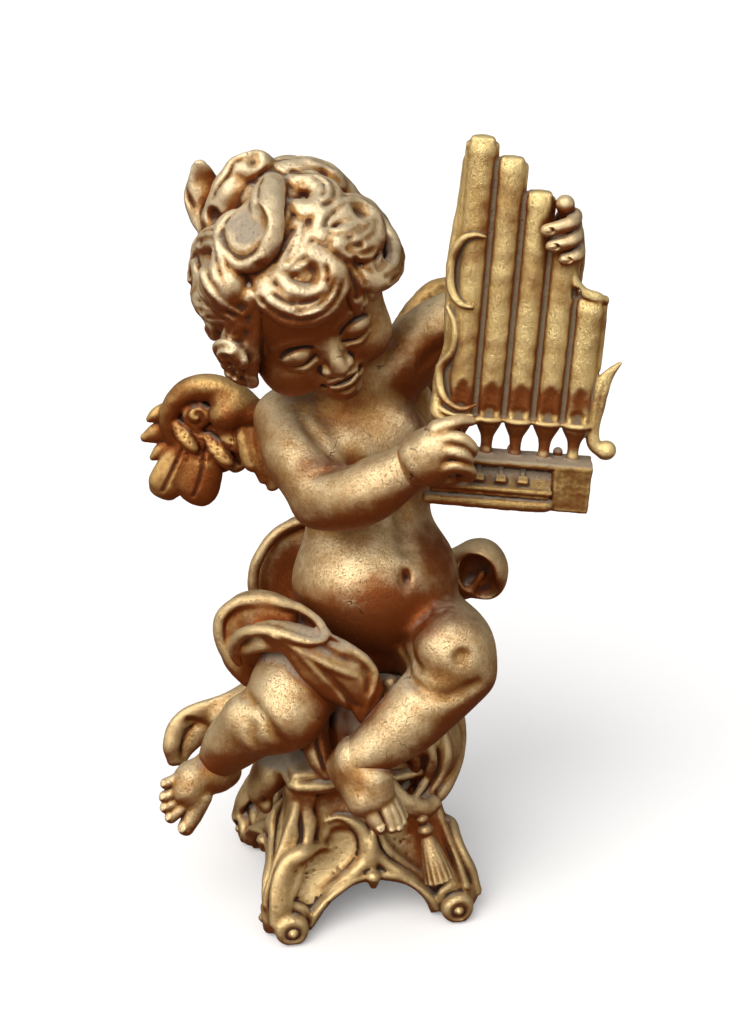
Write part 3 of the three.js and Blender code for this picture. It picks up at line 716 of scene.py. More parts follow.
def sculpt_torso(clay):
    clay.add([Egg((13, -11, 181), (43, 38, 36), TORSO_TURN)])
    clay.add([Egg((9, 0, 236), (35, 26, 40), turn_matrix(y=10, z=20))], 20)
    clay.add(stroke([(-24, -2, 262, 14), (4, 1, 278, 17), (24, 5, 290, 15)]), 12)
    clay.add(stroke([(5, 1, 276, 16), (0, -3, 290, 15)]), 10)
    # The soft breast, the ribs' edge above the belly and the shoulder blades.
    clay.add([Egg((-4, -19, 252), (14, 7, 11)), Egg((24, -13, 260), (13, 7, 11))], 10)
    for x, z, lean in ((-16, 250, 14), (34, 262, -14)):
        clay.add([Egg((x, 22, z), (11, 6, 17), turn_matrix(y=lean))], 8)


def sculpt_arms(clay):
    upper = [(-31, -2, 262, 17), (-26, -20, 252, 16.5), (-16, -36, 241, 16), (-10, -42, 238, 14)]
    clay.add_mass(stroke(upper), 9)
    forearm = [(-12, -42, 237, 15.5), (-2, -50, 238, 16), (10, -56, 244, 15.5),
               (22, -60, 252, 12.5), (26, -61, 256, 11.5)]
    clay.add_mass(stroke(forearm, 8), 5)
    clay.add([Egg((-14, -44, 230), (10, 9, 8))], 8)
    left = [(27, 6, 290, 17), (40, 6, 304, 15.5), (56, 5, 313, 14.5),
            (68, 2, 318, 14.5), (84, -10, 328, 13), (95, -18, 337, 11)]
    clay.add(stroke(left), 7)


def sculpt_legs(clay):
    clay.add([Egg((14, 8, 146), (38, 30, 26))])
    for x in (-6, 34):
        clay.add([Egg((x, 30, 140), (21, 17, 20))], 8)
    clay.add(stroke([(-6, 0, 145, 25), (-18, -24, 140, 24.5),
                     (-28, -43, 134, 22.5), (-31, -52, 127, 20.5)]), 9)
    calf = clay.blank()
    calf.add(stroke([(-36, -51, 120, 16), (-46, -49, 118, 16.5), (-58, -44, 106, 15),
                     (-66, -39, 94, 11.5), (-68, -38, 90, 10)]))
    calf.add([Egg((-52, -52, 124), (12, 11, 11)), Egg((-43, -59, 118), (10, 10, 10))], 5)
    clay.join(calf, 3)
    clay.add(stroke([(36, 0, 148, 25), (44, -22, 153, 24), (50, -42, 158, 21.5), (52, -50, 159, 20)]), 9)
    clay.add([Egg((50, -56, 162), (18, 14, 16))], 6)
    shin = [(56, -52, 149, 17), (44, -56, 140, 18), (27, -61, 124, 16.5),
            (11, -65, 112, 12.5), (2, -66, 106, 11)]
    clay.add_mass(stroke(shin, 8), 4.5)


def crease(clay, rows, blend=3.5, sink=-0.9):
    """A soft fold of flesh: a shallow groove along the surface."""
    clay.carve(stroke(clay.press(rows, sink=sink)), blend)


def crease_body(clay):
    # The groove down the belly ends in the navel, a short upright slit in a soft hollow.
    crease(clay, [(24, -24, 240, 1.2), (27, -30, 224, 2.2), (28, -40, 209, 1.4)], 8, -1.2)
    clay.carve([Egg(clay.press([(28, -43, 195)], sink=-1.9)[0, :3], (3.6, 2.6, 4.6))], 4)
    crease(clay, [(27.6, -43, 198.0, 1.0), (28, -43, 194.5, 1.8), (28, -43, 192.0, 1.1)], 1.2, 0.7)
    clay.carve(stroke([(10, 30, 270, 2), (14, 32, 235, 3), (16, 30, 195, 2.5), (14, 38, 165, 2)]), 9)
    # Where the right arm meets the breast, and the fold inside its elbow.
    crease(clay, [(-24, -19, 273, 0.9), (-20, -23, 266, 1.8), (-13, -31, 260, 2.2),
                  (-4, -48, 256, 1.8), (4, -54, 259, 0.9)], 5)
    crease(clay, [(-16, -52, 250, 0.9), (-8, -54, 254, 1.6), (2, -56, 258, 0.9)], 4)
    crease(clay, [(36, -12, 292, 0.9), (42, -10, 298, 1.6), (50, -8, 302, 0.9)], 5)
    # Behind the right knee, and its dimple.
    crease(clay, [(-50, -58, 138, 0.8), (-43, -67, 133, 1.8),
                  (-37, -72, 125, 2.0), (-30, -72, 117, 0.9)], 4.5)
    crease(clay, [(-47, -66, 126, 0.8), (-48, -64, 119, 1.6), (-46, -62, 113, 0.8)], 5, -1.2)
    # The left knee: a dimple above it, the fold below it and folds at the groin.
    clay.carve([Egg(clay.press([(55, -70, 163)], sink=-1.6)[0, :3], (4, 2.4, 3), turn_matrix(y=-35))], 5)
    crease(clay, [(51, -70, 165, 0.5), (54, -70, 167, 0.8), (57, -70, 166, 0.5)], 3, -0.5)
    crease(clay, [(28, -66, 152, 0.8), (38, -74, 147, 1.8), (50, -75, 146, 1.8), (62, -72, 151, 0.9)], 5)
    crease(clay, [(27, -46, 163, 0.8), (25, -44, 156, 1.6), (29, -60, 151, 0.8)], 4)
    crease(clay, [(34, -50, 170, 0.8), (30, -51, 161, 1.3), (34, -62, 155, 0.8)], 4)


def sculpt_body():
    clay = Clay((-85, -90, 78), (112, 52, 354), 1.15)
    sculpt_legs(clay)
    torso = clay.blank()
    sculpt_torso(torso)
    clay.join(torso, 5)
    sculpt_arms(clay)
    for _ in range(2):
        clay.soften(3.6)
    crease_body(clay)
    clay.soften(1.2)
    clay.ripple(0.15, 23)
    return skin("body", clay, SKIN_GILT, ["torso", "right_arm", "left_arm", "right_leg", "left_leg"])


def nail(clay, at, radius, facing):
    """A finger or toe nail: a shallow plate pressed into the tip."""
    direction = Vector(facing).normalized()
    turn = direction.to_track_quat("Z", "Y").to_matrix()
    middle = Vector(at) + direction * radius * 0.92
    clay.add([Egg(middle, (radius * 0.6, radius * 0.75, radius * 0.2), turn)], 0.3)


def sculpt_foot(name, masses, toes, facing):
    """A chubby foot: masses are rounds that melt together, toes are strokes, big toe first."""
    everything = np.array([p[:3] for p in masses] + [p[:3] for toe in toes for p in toe])
    clay = Clay(everything.min(axis=0) - 14, everything.max(axis=0) + 14, 0.55)
    for a, b in zip(masses, masses[1:]):
        clay.add(stroke([a, b]), 5)
    for toe in toes:
        single = clay.blank()
        single.add(stroke(toe))
        tip = toe[-1]
        nail(single, tip[:3], tip[3], facing)
        clay.join(single, 0.8)
    clay.ripple(0.08, 9)
    return skin(name, clay, SKIN_GILT)


def sculpt_feet():
    right = [(-67, -38, 91, 10.5), (-66, -32, 82, 8.5), (-70, -38, 84, 9.5),
             (-80, -44, 84, 8.5), (-82, -46, 79, 8.5), (-79, -47, 74, 7)]
    right_toes = [
        [(-76, -48, 76, 6), (-80, -51, 67, 5), (-83.5, -53, 61, 4.3)],
        [(-80, -48, 78, 4.5), (-86, -51, 71, 3.6), (-91, -52, 66.5, 3.3)],
        [(-82, -47, 80, 4.2), (-88, -50, 75, 3.4), (-93.5, -51, 71.5, 3.2)],
        [(-83, -46, 83, 4.0), (-89, -49, 79.5, 3.3), (-94, -50, 77, 3.1)],
        [(-83, -44, 87, 4.0), (-89, -47, 85, 3.1), (-93.5, -48, 83.5, 2.9)],
    ]
    sculpt_foot("right_foot", right, right_toes, (-0.4, -0.75, 0.5))
    left = [(3, -65, 108, 11), (-2, -61, 101, 8), (2, -65, 103, 10),
            (11, -71, 99, 9.5), (13, -73, 92, 8), (7, -75, 90, 7.5), (1, -68, 97, 8)]
    left_toes = [
        [(7, -76, 90, 6), (11.5, -79, 84, 4.6), (15, -80.5, 78, 3.9)],
        [(14, -76, 92, 4.0), (18.5, -79.5, 85, 2.9), (20.8, -81, 77.5, 2.7)],
        [(16, -75, 92, 4.0), (21.5, -78.5, 85, 2.7), (24.2, -80, 77.5, 2.5)],
        [(18, -73, 92, 4.0), (23.5, -76, 85, 2.6), (26.3, -77.5, 79, 2.3)],
        [(18, -71, 92, 4.0), (24, -73, 86, 2.5), (27, -74, 80.5, 2.1)],
    ]
    sculpt_foot("left_foot", left, left_toes, (0.1, -0.8, 0.55))


def sculpt_right_hand():
    clay = Clay((10, -90, 236), (72, -44, 298), 0.5)
    clay.add(stroke([(24, -61, 254, 10.8), (29, -62, 257, 10.2)]))
    palm = clay.blank()
    palm.add(stroke([(34, -64, 263, 11.5), (40, -66, 267, 11.5), (45, -67, 270, 9.5)]))
    palm.add([Egg((38, -68, 259), (9, 8, 8))], 5)
    clay.join(palm, 1.5)
    fingers = [
        [(41, -68, 277, 5.0), (46, -69, 279.5, 4.0), (51, -68, 281, 3.2), (56, -66, 280.5, 2.3)],
        [(42, -71, 272.5, 4.2), (47, -73, 274.5, 3.7), (52, -74, 274, 3.3),
         (56, -72.5, 270, 3.0), (56.5, -69, 266.5, 2.6)],
        [(41, -72, 266, 4.2), (46, -74.5, 269, 3.6), (51, -75.5, 268.2, 3.3),
         (54.5, -73.5, 264.5, 2.9), (54.8, -69, 261.5, 2.6)],
        [(41, -71, 259, 4.4), (46, -74, 261.5, 3.9), (51, -74.5, 262, 3.6),
         (55, -72.5, 259, 3.3), (56, -69, 255.5, 3.0), (53, -65, 254, 2.8)],
    ]
    for finger in fingers:
        clay.add_mass(stroke(finger), 1.0)
    clay.add(stroke([(36, -62, 255, 6), (45, -60, 252, 5), (52, -59, 252.5, 3.6)]), 2)
    clay.ripple(0.08, 9)
    return skin("right_hand", clay, SKIN_GILT)


# ---------- organ, in its own leaning frame ----------

ORGAN = placed((78.5, -42, 256.5), turn_matrix(y=3.6, z=-4))
PIPE_PITCH, PIPE_RADIUS = 13.6, 6.7
PIPE_X = [-27.2 + PIPE_PITCH * i for i in range(5)]
PIPE_TOP = [146, 138, 124, 105, 78]
COLLAR = 18.5  # height of the pipes' lower ends above the wind chest
KEY_PITCH = 10.3


def sculpt_pipes():
    clay = Clay((-47, -14, -1), (52, 14, 150), 0.62)
    # The board behind, stepped like the pipes, fills the grooves part way.
    for x, top in zip(PIPE_X, PIPE_TOP):
        clay.add([Block((x - 7.5, -2.8, COLLAR - 1), (x + 7.5, 5.5, top - 2.5), 1.6)], 1.5)
    edge = [(-36.0, 1.5, 22), (-36.5, 1.5, 35), (-33.0, 1.5, 50), (-34.0, 1.5, 66),
            (-34.5, 1.5, 88), (-33.5, 1.5, 103), (-32, 1.5, 116), (-31, 1.5, 134)]
    clay.add(ribbon([(*p, 4.5, 3.2) for p in edge], FRONT), 1.5)
    clay.add([Block((24, 0, COLLAR - 3), (35, 5.5, 50), 2.5)], 3)
    for x, top in zip(PIPE_X, PIPE_TOP):
        clay.add(stroke([(x, 0, COLLAR, PIPE_RADIUS), (x, 0, top - 6.5, PIPE_RADIUS + 0.2)], 1), 0.6)
        clay.add([Block((x - 5.5, -4.7, top - 9), (x + 5.5, 4.7, top), 1.8)], 1.5)
        foot = [(x, 0, 1.0, 3.2), (x, 0, 5, 2.7), (x, 0, 10, 3.3), (x, 0, 14.0, 5.0), (x, 0, 17, 6.3)]
        clay.add(stroke(foot), 1.0)
        # The mouth: a pointed arch sunk in the front, above a rolled collar.
        clay.carve([Egg((x, -8.2, COLLAR + 8), (5.0, 3.2, 10.5))], 1.2)
        clay.carve([Egg((x, -6.4, COLLAR + 3.6), (3.6, 2.2, 3.4))], 1.2)
        ring = [(x + PIPE_RADIUS * math.sin(a), -PIPE_RADIUS * math.cos(a), COLLAR - 0.5, 1.5)
                for a in np.linspace(-1.9, 1.9, 9)]
        clay.add(stroke(ring, 2), 0.5)
    sculpt_organ_scrolls(clay)
    clay.ripple(0.14, 11)
    return skin("organ_pipes", clay, PIPE_GILT, ["organ_pipe_bank"], ORGAN)


def sculpt_organ_scrolls(clay):
    upper = [(-23, -7.4, 103, 1.0, 1.0), (-28, -8.0, 103.4, 1.5, 1.4),
             (-33.5, -6.5, 100, 1.9, 1.8), (-37, -4, 90, 2.1, 2.0),
             (-36, -5, 78, 2.0, 1.8), (-31.5, -7.2, 72, 1.6, 1.4), (-26, -7.8, 71, 0.9, 0.9)]
    clay.add(ribbon(upper, FRONT), 0.6)
    lower = [(-37, -2, 69, 1.0, 1.0), (-33, -5, 61, 1.5, 1.7),
             (-33, -5.5, 50, 1.8, 1.8), (-38, -3, 41, 2.3, 2.0),
             (-37.5, -4, 32, 2.0, 1.9), (-34, -7, 26, 1.8, 1.7),
             (-27, -8.6, 23.0, 1.5, 1.5), (-20, -8.0, 25.5, 0.8, 0.8)]
    clay.add(ribbon(lower, FRONT), 0.6)
    clay.add(stroke([(-38, 0, 24, 3.4), (-37, -2, 18, 3.6), (-31, -4, 15.5, 3.0),
                     (-23, -5, 16, 2.2), (-18, -5, 18, 1.6)]), 1.2)
    clay.add(stroke([(-36, -4, 21, 1.6), (-30, -7, 19.4, 1.5), (-22, -8, 20, 1.2)]), 0.8)
    clay.carve([Egg((-33, -5, 13), (5, 2, 1.6)), Egg((-28, -7.4, 17.6), (5, 2, 1.0))], 1.0)
    # A leaf runs down from the hand to the shortest pipe's shoulder, with a hollow below it.
    leaf = [(17, -3, 92, 1.2, 1.2), (19, -4, 86, 2.0, 1.6), (23.5, -4, 81, 2.4, 1.8),
            (30, -3.5, 78.8, 2.6, 1.6), (34.2, -1, 77, 1.6, 1.6)]
    clay.add([Block((19, 0.5, 60), (32.5, 5, 80), 2)], 2)
    clay.add(ribbon(leaf, (0.3, -1, 0.3)), 0.6)
    clay.add(stroke([(34, -0.5, 78, 1.5), (34.6, -0.5, 60, 1.3), (34.4, -0.5, 45, 1.4)]), 0.8)
    clay.carve([Egg((20.5, -4.5, 79.5), (2.2, 3.4, 3.4))], 0.8)
    right = [(44, -2, 49, 0.8, 0.8), (40, -2, 44, 2.4, 1.7), (37, -2, 38, 3.8, 2.4), (35.6, -2, 28, 4.0, 2.6),
             (35, -2, 17, 3.2, 2.6), (36.5, -2, 9.5, 3.2, 3.0), (41, -2, 6, 3.4, 3.4)]
    clay.add(ribbon(right, FRONT), 1.2)
    clay.add([Egg((42.5, -2, 6.8), (4.6, 4.4, 4.6))], 1.2)
    clay.carve(stroke([(40.5, -4.6, 44.5, 0.4), (37.4, -5.3, 37, 1.0),
                       (36.6, -5.6, 26, 1.2), (36.6, -5.6, 15, 0.8)]), 1.2)
    clay.carve(stroke([(37.4, -6.2, 11.5, 0.5), (39.4, -6.4, 10.6, 0.6), (41.8, -6.8, 10.6, 0.4)]), 0.6)


def sculpt_windchest():
    clay = Clay((-43, -19, -28), (42, 14, 8), 0.5)
    clay.add([Block((-38, -9, -23), (36, 8, 0), 1.0)])
    clay.add([Block((-38, -10.6, -2.6), (36.8, 8.6, 0.4), 1.0)], 0.5)
    clay.add([Block((18.5, -10.6, -23), (36.6, 0, -1), 1.2)], 0.6)
    # The keyboard's opening and its sloping bed, which ends in a rolled lip.
    clay.carve([Block((-40, -20, -17.5), (18.0, -4.5, -3.2), 0.6)])
    bed = turn_matrix(x=38)
    clay.add([Block((-38, -19.0, -7.0), (18.2, -2.5, -1.7), 0.8, bed)], 0.4)
    clay.add(stroke([(-38, -13.4, -13.2, 1.5), (17.4, -13.4, -13.2, 1.5)]), 0.8)
    clay.add([Block((-38, -13.6, -16.5), (17.4, -9, -12.6), 0.9)], 0.6)
    clay.add(stroke([(-39, -11.0, -20.4, 3.0), (12, -11.2, -20.4, 3.0), (17, -9.5, -19.0, 2.2)]), 0.7)
    # The keys: a stem down the slope, a knob at its top and a broad head near the lip.
    for i in range(5):
        x = -36.6 + KEY_PITCH * i
        clay.add([Block((x - 1.3, -13.0, -2.4), (x + 1.3, -4.0, -0.4), 0.5, bed)], 0.3)
        clay.add([Block((x - 2.7, -15.6, -2.4), (x + 2.7, -11.4, 0.9), 0.8, bed)], 0.3)
        clay.add([Block((x - 2.0, -6.4, -2.4), (x + 2.0, -4.2, 0.5), 0.7, bed)], 0.3)
    for x in (-1, 20.5):
        clay.add([Egg((x, 4, 2), (2.4, 2.2, 2.6))], 0.8)
    for x in PIPE_X:
        clay.add([Egg((x, 0, 0), (4.0, 4.0, 1.8))], 1.0)
    clay.ripple(0.22, 9)
    clay.ripple(0.10, 3.3)
    return skin("organ_chest", clay, CHEST_GILT, ["organ_windchest"], ORGAN)


def sculpt_left_hand():
    clay = Clay((-6, -20, 76), (40, 40, 130), 0.5)
    clay.add(stroke([(13.7, 25, 80, 11), (15, 19, 92, 9.5), (14, 13, 103, 8.5)]))
    fingers = [
        [(13, 10, 112, 3.8), (16.2, 1, 114, 3.6), (14.5, -8.5, 112.2, 3.3),
         (9, -11, 110.2, 3.0), (4, -10.6, 108.3, 2.9)],
        [(14, 10, 106, 3.8), (17.5, 1, 107.4, 3.5), (16.5, -8.5, 105.2, 3.3),
         (11.5, -11, 103.2, 3.0), (7, -10.6, 101.5, 2.8)],
        [(15, 10, 99, 3.8), (19, 1, 99.8, 3.4), (18.5, -8.5, 98, 3.2),
         (15.5, -10.8, 96.8, 2.9), (13.2, -10.6, 96, 2.8)],
    ]
    for finger in fingers:
        single = clay.blank()
        single.add(stroke(finger))
        tip = finger[-1]
        single.carve([Egg((tip[0] + 0.8, tip[1] - tip[3] * 1.05, tip[2] + 0.5), (2.6, 1.0, 1.7))], 0.3)
        single.add([Egg((tip[0] + 0.2, tip[1] - tip[3] * 0.7, tip[2] + 0.4), (2.0, 0.9, 1.3))], 0.2)
        clay.join(single, 0.5)
    clay.add([Egg((14, 8, 106), (7, 7, 11))], 2)
    clay.add(stroke([(13, 5, 111, 4.6), (12.5, -1, 115.5, 3.6), (11.2, -5, 119.5, 4.3)]), 1.0)
    clay.carve(stroke([(8.8, -9.0, 121.5, 0.4), (11.4, -9.6, 122.2, 0.5), (13.8, -8.6, 121.2, 0.4)]), 0.6)
    clay.ripple(0.08, 9)
    return skin("left_hand_skin", clay, SKIN_GILT, ["left_hand"], ORGAN)


# ---------- head and hair, in the head's own frame ----------

SKULL = 43.0  # mm from the head's middle to the scalp
HEAD = placed((-25, -20, 334), turn_matrix(x=24, y=-24, z=12))


def over_head(azimuth, elevation, lift):
    """A place over the scalp: azimuth 0 is the brow, 90 the child's left ear, elevation 90 the crown."""
    a, e = math.radians(azimuth), math.radians(elevation)
    r = SKULL + lift
    place = (r * math.sin(a) * math.cos(e), -r * math.cos(a) * math.cos(e), r * math.sin(e))
    return np.array(place, np.float32)


FACE_ON = (0, 1, 0)  # into the face, in the head's frame


def sculpt_face():
    clay = Clay((-50, -56, -56), (50, 50, 50), 0.6)
    clay.add([Egg((0, 2, 4), (40, 42, 41))])
    clay.add([Egg((0, -10, -16), (33, 29, 30))], 12)
    clay.add([Egg((0, -21, 14), (29, 21, 22))], 10)
    for side in (-1, 1):
        clay.add([Egg((side * 18, -24, -25), (14.5, 14, 13.5))], 8)
        clay.carve([Egg((side * 14.5, -46, -9), (9.5, 7, 5.5))], 7)
    clay.add([Egg((0, -33, -41), (9, 8, 7))], 8)
    clay.add([Egg((0, -36, -31), (11, 6, 7))], 6)
    clay.add(stroke([(0, -37.5, -4, 3.0), (0, -40.6, -11, 3.2),
                     (0, -43.4, -17, 3.8), (0, -44.2, -20.5, 4.3)]), 5)
    clay.soften(1.8)
    for side in (-1, 1):
        # A lowered lid over a round eye, its crease and its lash line.
        clay.add([Egg((side * 14.4, -33.2, -9.2), (8.6, 7.4, 6.4))], 1.6)
        lash = [(side * 6.6, -40, -10.8, 0.4), (side * 9.5, -40, -12.6, 0.7), (side * 14, -40, -13.8, 0.8),
                (side * 18.5, -40, -12.8, 0.7), (side * 22.4, -38, -10.0, 0.4)]
        clay.carve(stroke(clay.press(lash, FACE_ON)), 0.7)
        under = [(side * 8, -40, -14.6, 0.5), (side * 14, -40, -16.6, 0.9), (side * 20, -38, -14.6, 0.5)]
        clay.add(stroke(clay.press(under, FACE_ON, 0.2)), 1.8)
        fold = [(side * 7.4, -40, -6.2, 0.4), (side * 10.5, -40, -4.0, 0.8),
                (side * 15, -40, -3.2, 0.9), (side * 20, -38, -5.0, 0.7), (side * 22.6, -36, -7.4, 0.3)]
        clay.carve(stroke(clay.press(fold, FACE_ON)), 1.8)
        brow = [(side * 6, -43, -0.5, 0.8), (side * 12, -44, 1.6, 1.2),
                (side * 18, -42, 1.4, 1.1), (side * 23, -38, -0.8, 0.6)]
        clay.add(stroke(clay.press(brow, FACE_ON, 0.4)), 3.5)
        clay.add([Egg((side * 4.7, -41.2, -21.4), (3.3, 3.6, 2.9))], 2.2)
        clay.carve([Egg((side * 2.6, -43.4, -24.2), (1.3, 1.4, 0.9))], 0.9)
        wing = [(side * 7.6, -42, -18.6, 0.3), (side * 8.4, -42, -21.6, 0.6), (side * 7.2, -42, -24.2, 0.3)]
        clay.carve(stroke(clay.press(wing, FACE_ON)), 1.6)
        clay.carve([Egg((side * 9.6, -39.4, -31), (1.3, 1.6, 1.5))], 2.5)
        ear = [(side * 38, 4, 0, 2.4), (side * 42, 7, 3, 2.6), (side * 42.5, 11, -4, 2.6),
               (side * 40.5, 8, -13, 2.8), (side * 38, 4, -17, 3.2)]
        clay.add(stroke(ear), 2)
    # Closed lips: a bowed upper lip, a fuller lower lip and the line between them.
    upper = [(-8.2, -40, -30.4, 0.6), (-4.4, -42, -28.6, 1.4), (-1.6, -43, -28.0, 1.5),
             (0, -43, -28.5, 1.4), (1.6, -43, -28.0, 1.5), (4.4, -42, -28.6, 1.4), (8.2, -40, -30.4, 0.6)]
    clay.add(stroke(clay.press(upper, FACE_ON, 0.1)), 1.4)
    lower = [(-6.2, -40, -32.6, 0.8), (-2.4, -42, -33.4, 1.9),
             (0, -42, -33.3, 1.9), (2.4, -42, -33.4, 1.9), (6.2, -40, -32.6, 0.8)]
    clay.add(stroke(clay.press(lower, FACE_ON, 0.1)), 1.4)
    between = [(-8.8, -41, -30.6, 0.4), (-4.5, -44, -30.8, 0.6),
               (0, -45, -31.3, 0.7), (4.5, -44, -30.8, 0.6), (8.8, -41, -30.6, 0.4)]
    clay.carve(stroke(clay.press(between, FACE_ON, 0.3)), 0.6)
    clay.carve(stroke(clay.press([(0, -44, -24.6, 0.5), (0, -44, -27, 0.9)], FACE_ON)), 1.6)
    clay.carve(stroke(clay.press([(-3, -42, -37, 0.5), (0, -42, -37.4, 1.0),
                                  (3, -42, -37, 0.5)], FACE_ON)), 3)
    return skin("face", clay, SKIN_GILT, (), HEAD)


TO_VIEWER = np.array(HEAD.to_3x3().inverted() @ Vector((0, -0.94, 0.34)), np.float32)
# Locks of the front and crown. Rows of azimuth, elevation, lift above the scalp, radius.
LOCKS = {
    "crown": [(170, 60, 10, 9), (152, 54, 14, 10), (136, 47, 15, 10),
              (122, 40, 14, 10), (112, 33, 11, 9), (104, 26, 8, 7)],
    "crown_top": [(160, 72, 12, 9), (142, 64, 15, 10), (126, 55, 15, 10), (114, 47, 13, 9), (106, 40, 10, 7)],
    "crown_end": [(128, 60, 15, 4), (116, 54, 16, 4), (108, 47, 15, 4), (104, 42, 12, 3)],
    "nape_crown": [(-150, 40, 9, 9), (-175, 52, 10, 11), (150, 78, 11, 12), (80, 78, 8, 10)],
    "diagonal_1": [(105, 36, 5, 4), (64, 55, 7, 3.6), (30, 59, 8, 3.4),
                   (14, 53, 8, 3.2), (-1, 49, 7, 3), (-25, 48, 6, 3)],
    "diagonal_2": [(104, 27, 4, 4), (63, 50, 7, 3.6), (35, 54, 8, 3.2),
                   (17, 50, 8, 3), (8, 47, 7, 3), (-21, 44, 6, 3)],
    "diagonal_3": [(60, 61, 6, 3.6), (28, 64, 7, 3.6), (3, 59, 8, 3.4), (-15, 52, 7, 3.4), (-34, 50, 6, 3)],
    "right_loop": [(104, 34, 7, 5), (96, 20, 9, 6), (86, 7, 10, 6), (76, 2, 11, 6),
                   (60, 4, 11, 5.5), (46, 9, 11, 5.5), (36, 16, 9, 5), (33, 24, 8, 4)],
    "right_loop_inner": [(66, 22, 8, 3), (56, 16, 9, 3.2), (45, 17, 10, 3), (41, 23, 9, 2.6)],
    "right_low": [(28, 45, 8, 4), (35, 41, 11, 4.8), (38, 34, 12, 5), (47, 28, 12, 5), (61, 25, 11, 4.4)],
    "right_roll": [(30, 52, 8, 4), (49, 54, 11, 5.5), (67, 48, 12, 6),
                   (74, 37, 13, 6), (70, 28, 13, 5.5), (58, 24, 12, 4.6)],
    "right_roll_inner": [(33, 51, 9, 4), (36, 44, 12, 4.6), (45, 39, 13, 4.6),
                         (56, 35, 13, 4.2), (66, 32, 12, 3.6)],
    "temple_right": [(28, 44, 8, 5.5), (31, 32, 8, 6), (30, 22, 6.5, 5.5), (27, 12, 4, 4), (25, 2, 2, 2.5)],
    "fall": [(-35, 36, 6, 4.6), (-42, 25, 7, 5), (-52, 16, 7, 5), (-60, 4, 7, 4.4)],
    "fall_inner": [(-33, 33, 4, 3.4), (-40, 19, 5, 4), (-45, 6, 5, 4), (-49, -8, 4, 3.4)],
    "side_low": [(-92, 20, 6, 6), (-74, 24, 8, 6.5), (-60, 27, 8, 6.5), (-46, 31, 8, 5.5), (-35, 38, 7, 4)],
    "side_roll": [(-125, 36, 6, 5), (-110, 50, 8, 6), (-94, 60, 9, 6.5), (-76, 63, 9, 6), (-64, 60, 7, 4.5)],
    "low_link": [(-44, 16, 3, 6), (-51, 2, 7, 7), (-56, -10, 8, 7), (-64, -20, 7, 6.5), (-76, -26, 4, 5)],
    "forelock": [(-29, 47, 5, 4.5), (-24, 36, 8, 6.5), (-13, 26, 9, 7.5), (-2, 22.5, 9, 8),
                 (8, 23.5, 9, 8), (18, 29, 9, 7.5), (23, 38, 9, 6.5), (19, 47, 8, 5)],
    "forelock_inner": [(-13, 46, 6, 3), (-8, 36, 8, 3.4), (0, 31, 9, 3.4), (10, 30, 9, 3)],
    "curl_top": [(122, 70, 9, 5), (103, 66, 12, 6), (92, 59, 13, 7), (78, 55, 13, 7.5),
                 (62, 56, 12, 7.5), (51, 62, 10, 6), (50, 70, 9, 4.5)],
    "tongue": [(112, 80, 8, 8), (10, 82, 11, 11), (-27, 72, 12.5, 13), (-36, 65, 12.5, 13), (-40, 59, 11, 9)],
    "tongue_fold": [(125, 77, 13, 5.5), (57, 83, 17, 7), (4, 75, 19, 7),
                    (-6, 66, 18, 6.5), (-14, 59, 15, 5.4), (-26, 54, 12.5, 4.4),
                    (-43, 54, 12, 3.8), (-64, 61, 12.5, 3.6), (-84, 69, 12, 3.4), (-82, 76, 11, 3)],
    "flame_high": [(-128, 58, 6, 8), (-138, 66, 9, 9), (-156, 71, 13, 9.5), (-174, 71, 16, 9),
                   (172, 73, 19, 7), (156, 72, 19, 5.5), (146, 69, 15, 4.5)],
    "flame_low": [(-124, 52, 6, 6), (-138, 50, 12, 8), (-146, 52, 18, 8.5),
                  (-152, 55, 24, 6.5), (-155, 59, 28, 2.5)],
}
# Thickness as a share of the half width.
THIN = {"tongue": 0.5, "crown": 0.7, "crown_top": 0.7, "nape_crown": 0.7,
        "flame_low": 0.55, "flame_high": 0.8, "side_low": 0.8}
THIN_USUALLY = 0.85
# Where grooves run along a lock, as shares of its half width from its middle.
GROOVES = {
    "tongue": (), "tongue_fold": (0.5,), "crown": (-0.5, -0.1, 0.35),
    "crown_top": (-0.4, 0.3), "flame_low": (0.1,),
    "flame_high": (-0.3, 0.25), "forelock": (-0.5, -0.1, 0.35),
    "forelock_inner": (), "right_loop_inner": (0.0,),
    "side_low": (-0.45, 0.0, 0.45), "nape_crown": (-0.5, -0.1, 0.4),
    "diagonal_1": (0.0,), "diagonal_2": (0.0,), "diagonal_3": (0.0,),
}
GROOVES_USUALLY = (-0.35, 0.3)
# Snail curls: azimuth, elevation, lift, size, start angle, spin.
SNAILS = [
    (-54, 4, 14, 10.5, 60, 1), (-62, -18, 12, 11.5, 200, -1),
    (-84, 2, 5, 11, 20, -1), (-90, -20, 3, 9, 120, 1),
    (-104, 28, 6, 14, 60, 1), (-110, 2, 4, 12, 300, -1),
    (-114, -22, 2, 10, 150, 1), (-132, 24, 7, 15, 200, -1),
    (-138, -4, 6, 14, 90, 1), (-142, -28, 4, 12, 250, -1),
    (-160, 34, 7, 15, 130, 1), (-166, 4, 7, 15, 310, -1),
    (-170, -24, 5, 13, 60, 1), (166, 30, 8, 15, 220, -1), (162, 0, 7, 15, 20, 1), (160, -28, 4, 12, 160, -1),
    (138, 22, 8, 15, 100, 1), (136, -6, 7, 14, 260, -1), (130, -30, 4, 11, 30, 1), (113, 8, 7, 14, 190, -1),
    (108, -18, 5, 12, 80, 1), (90, -12, 5, 10, 300, -1),
]
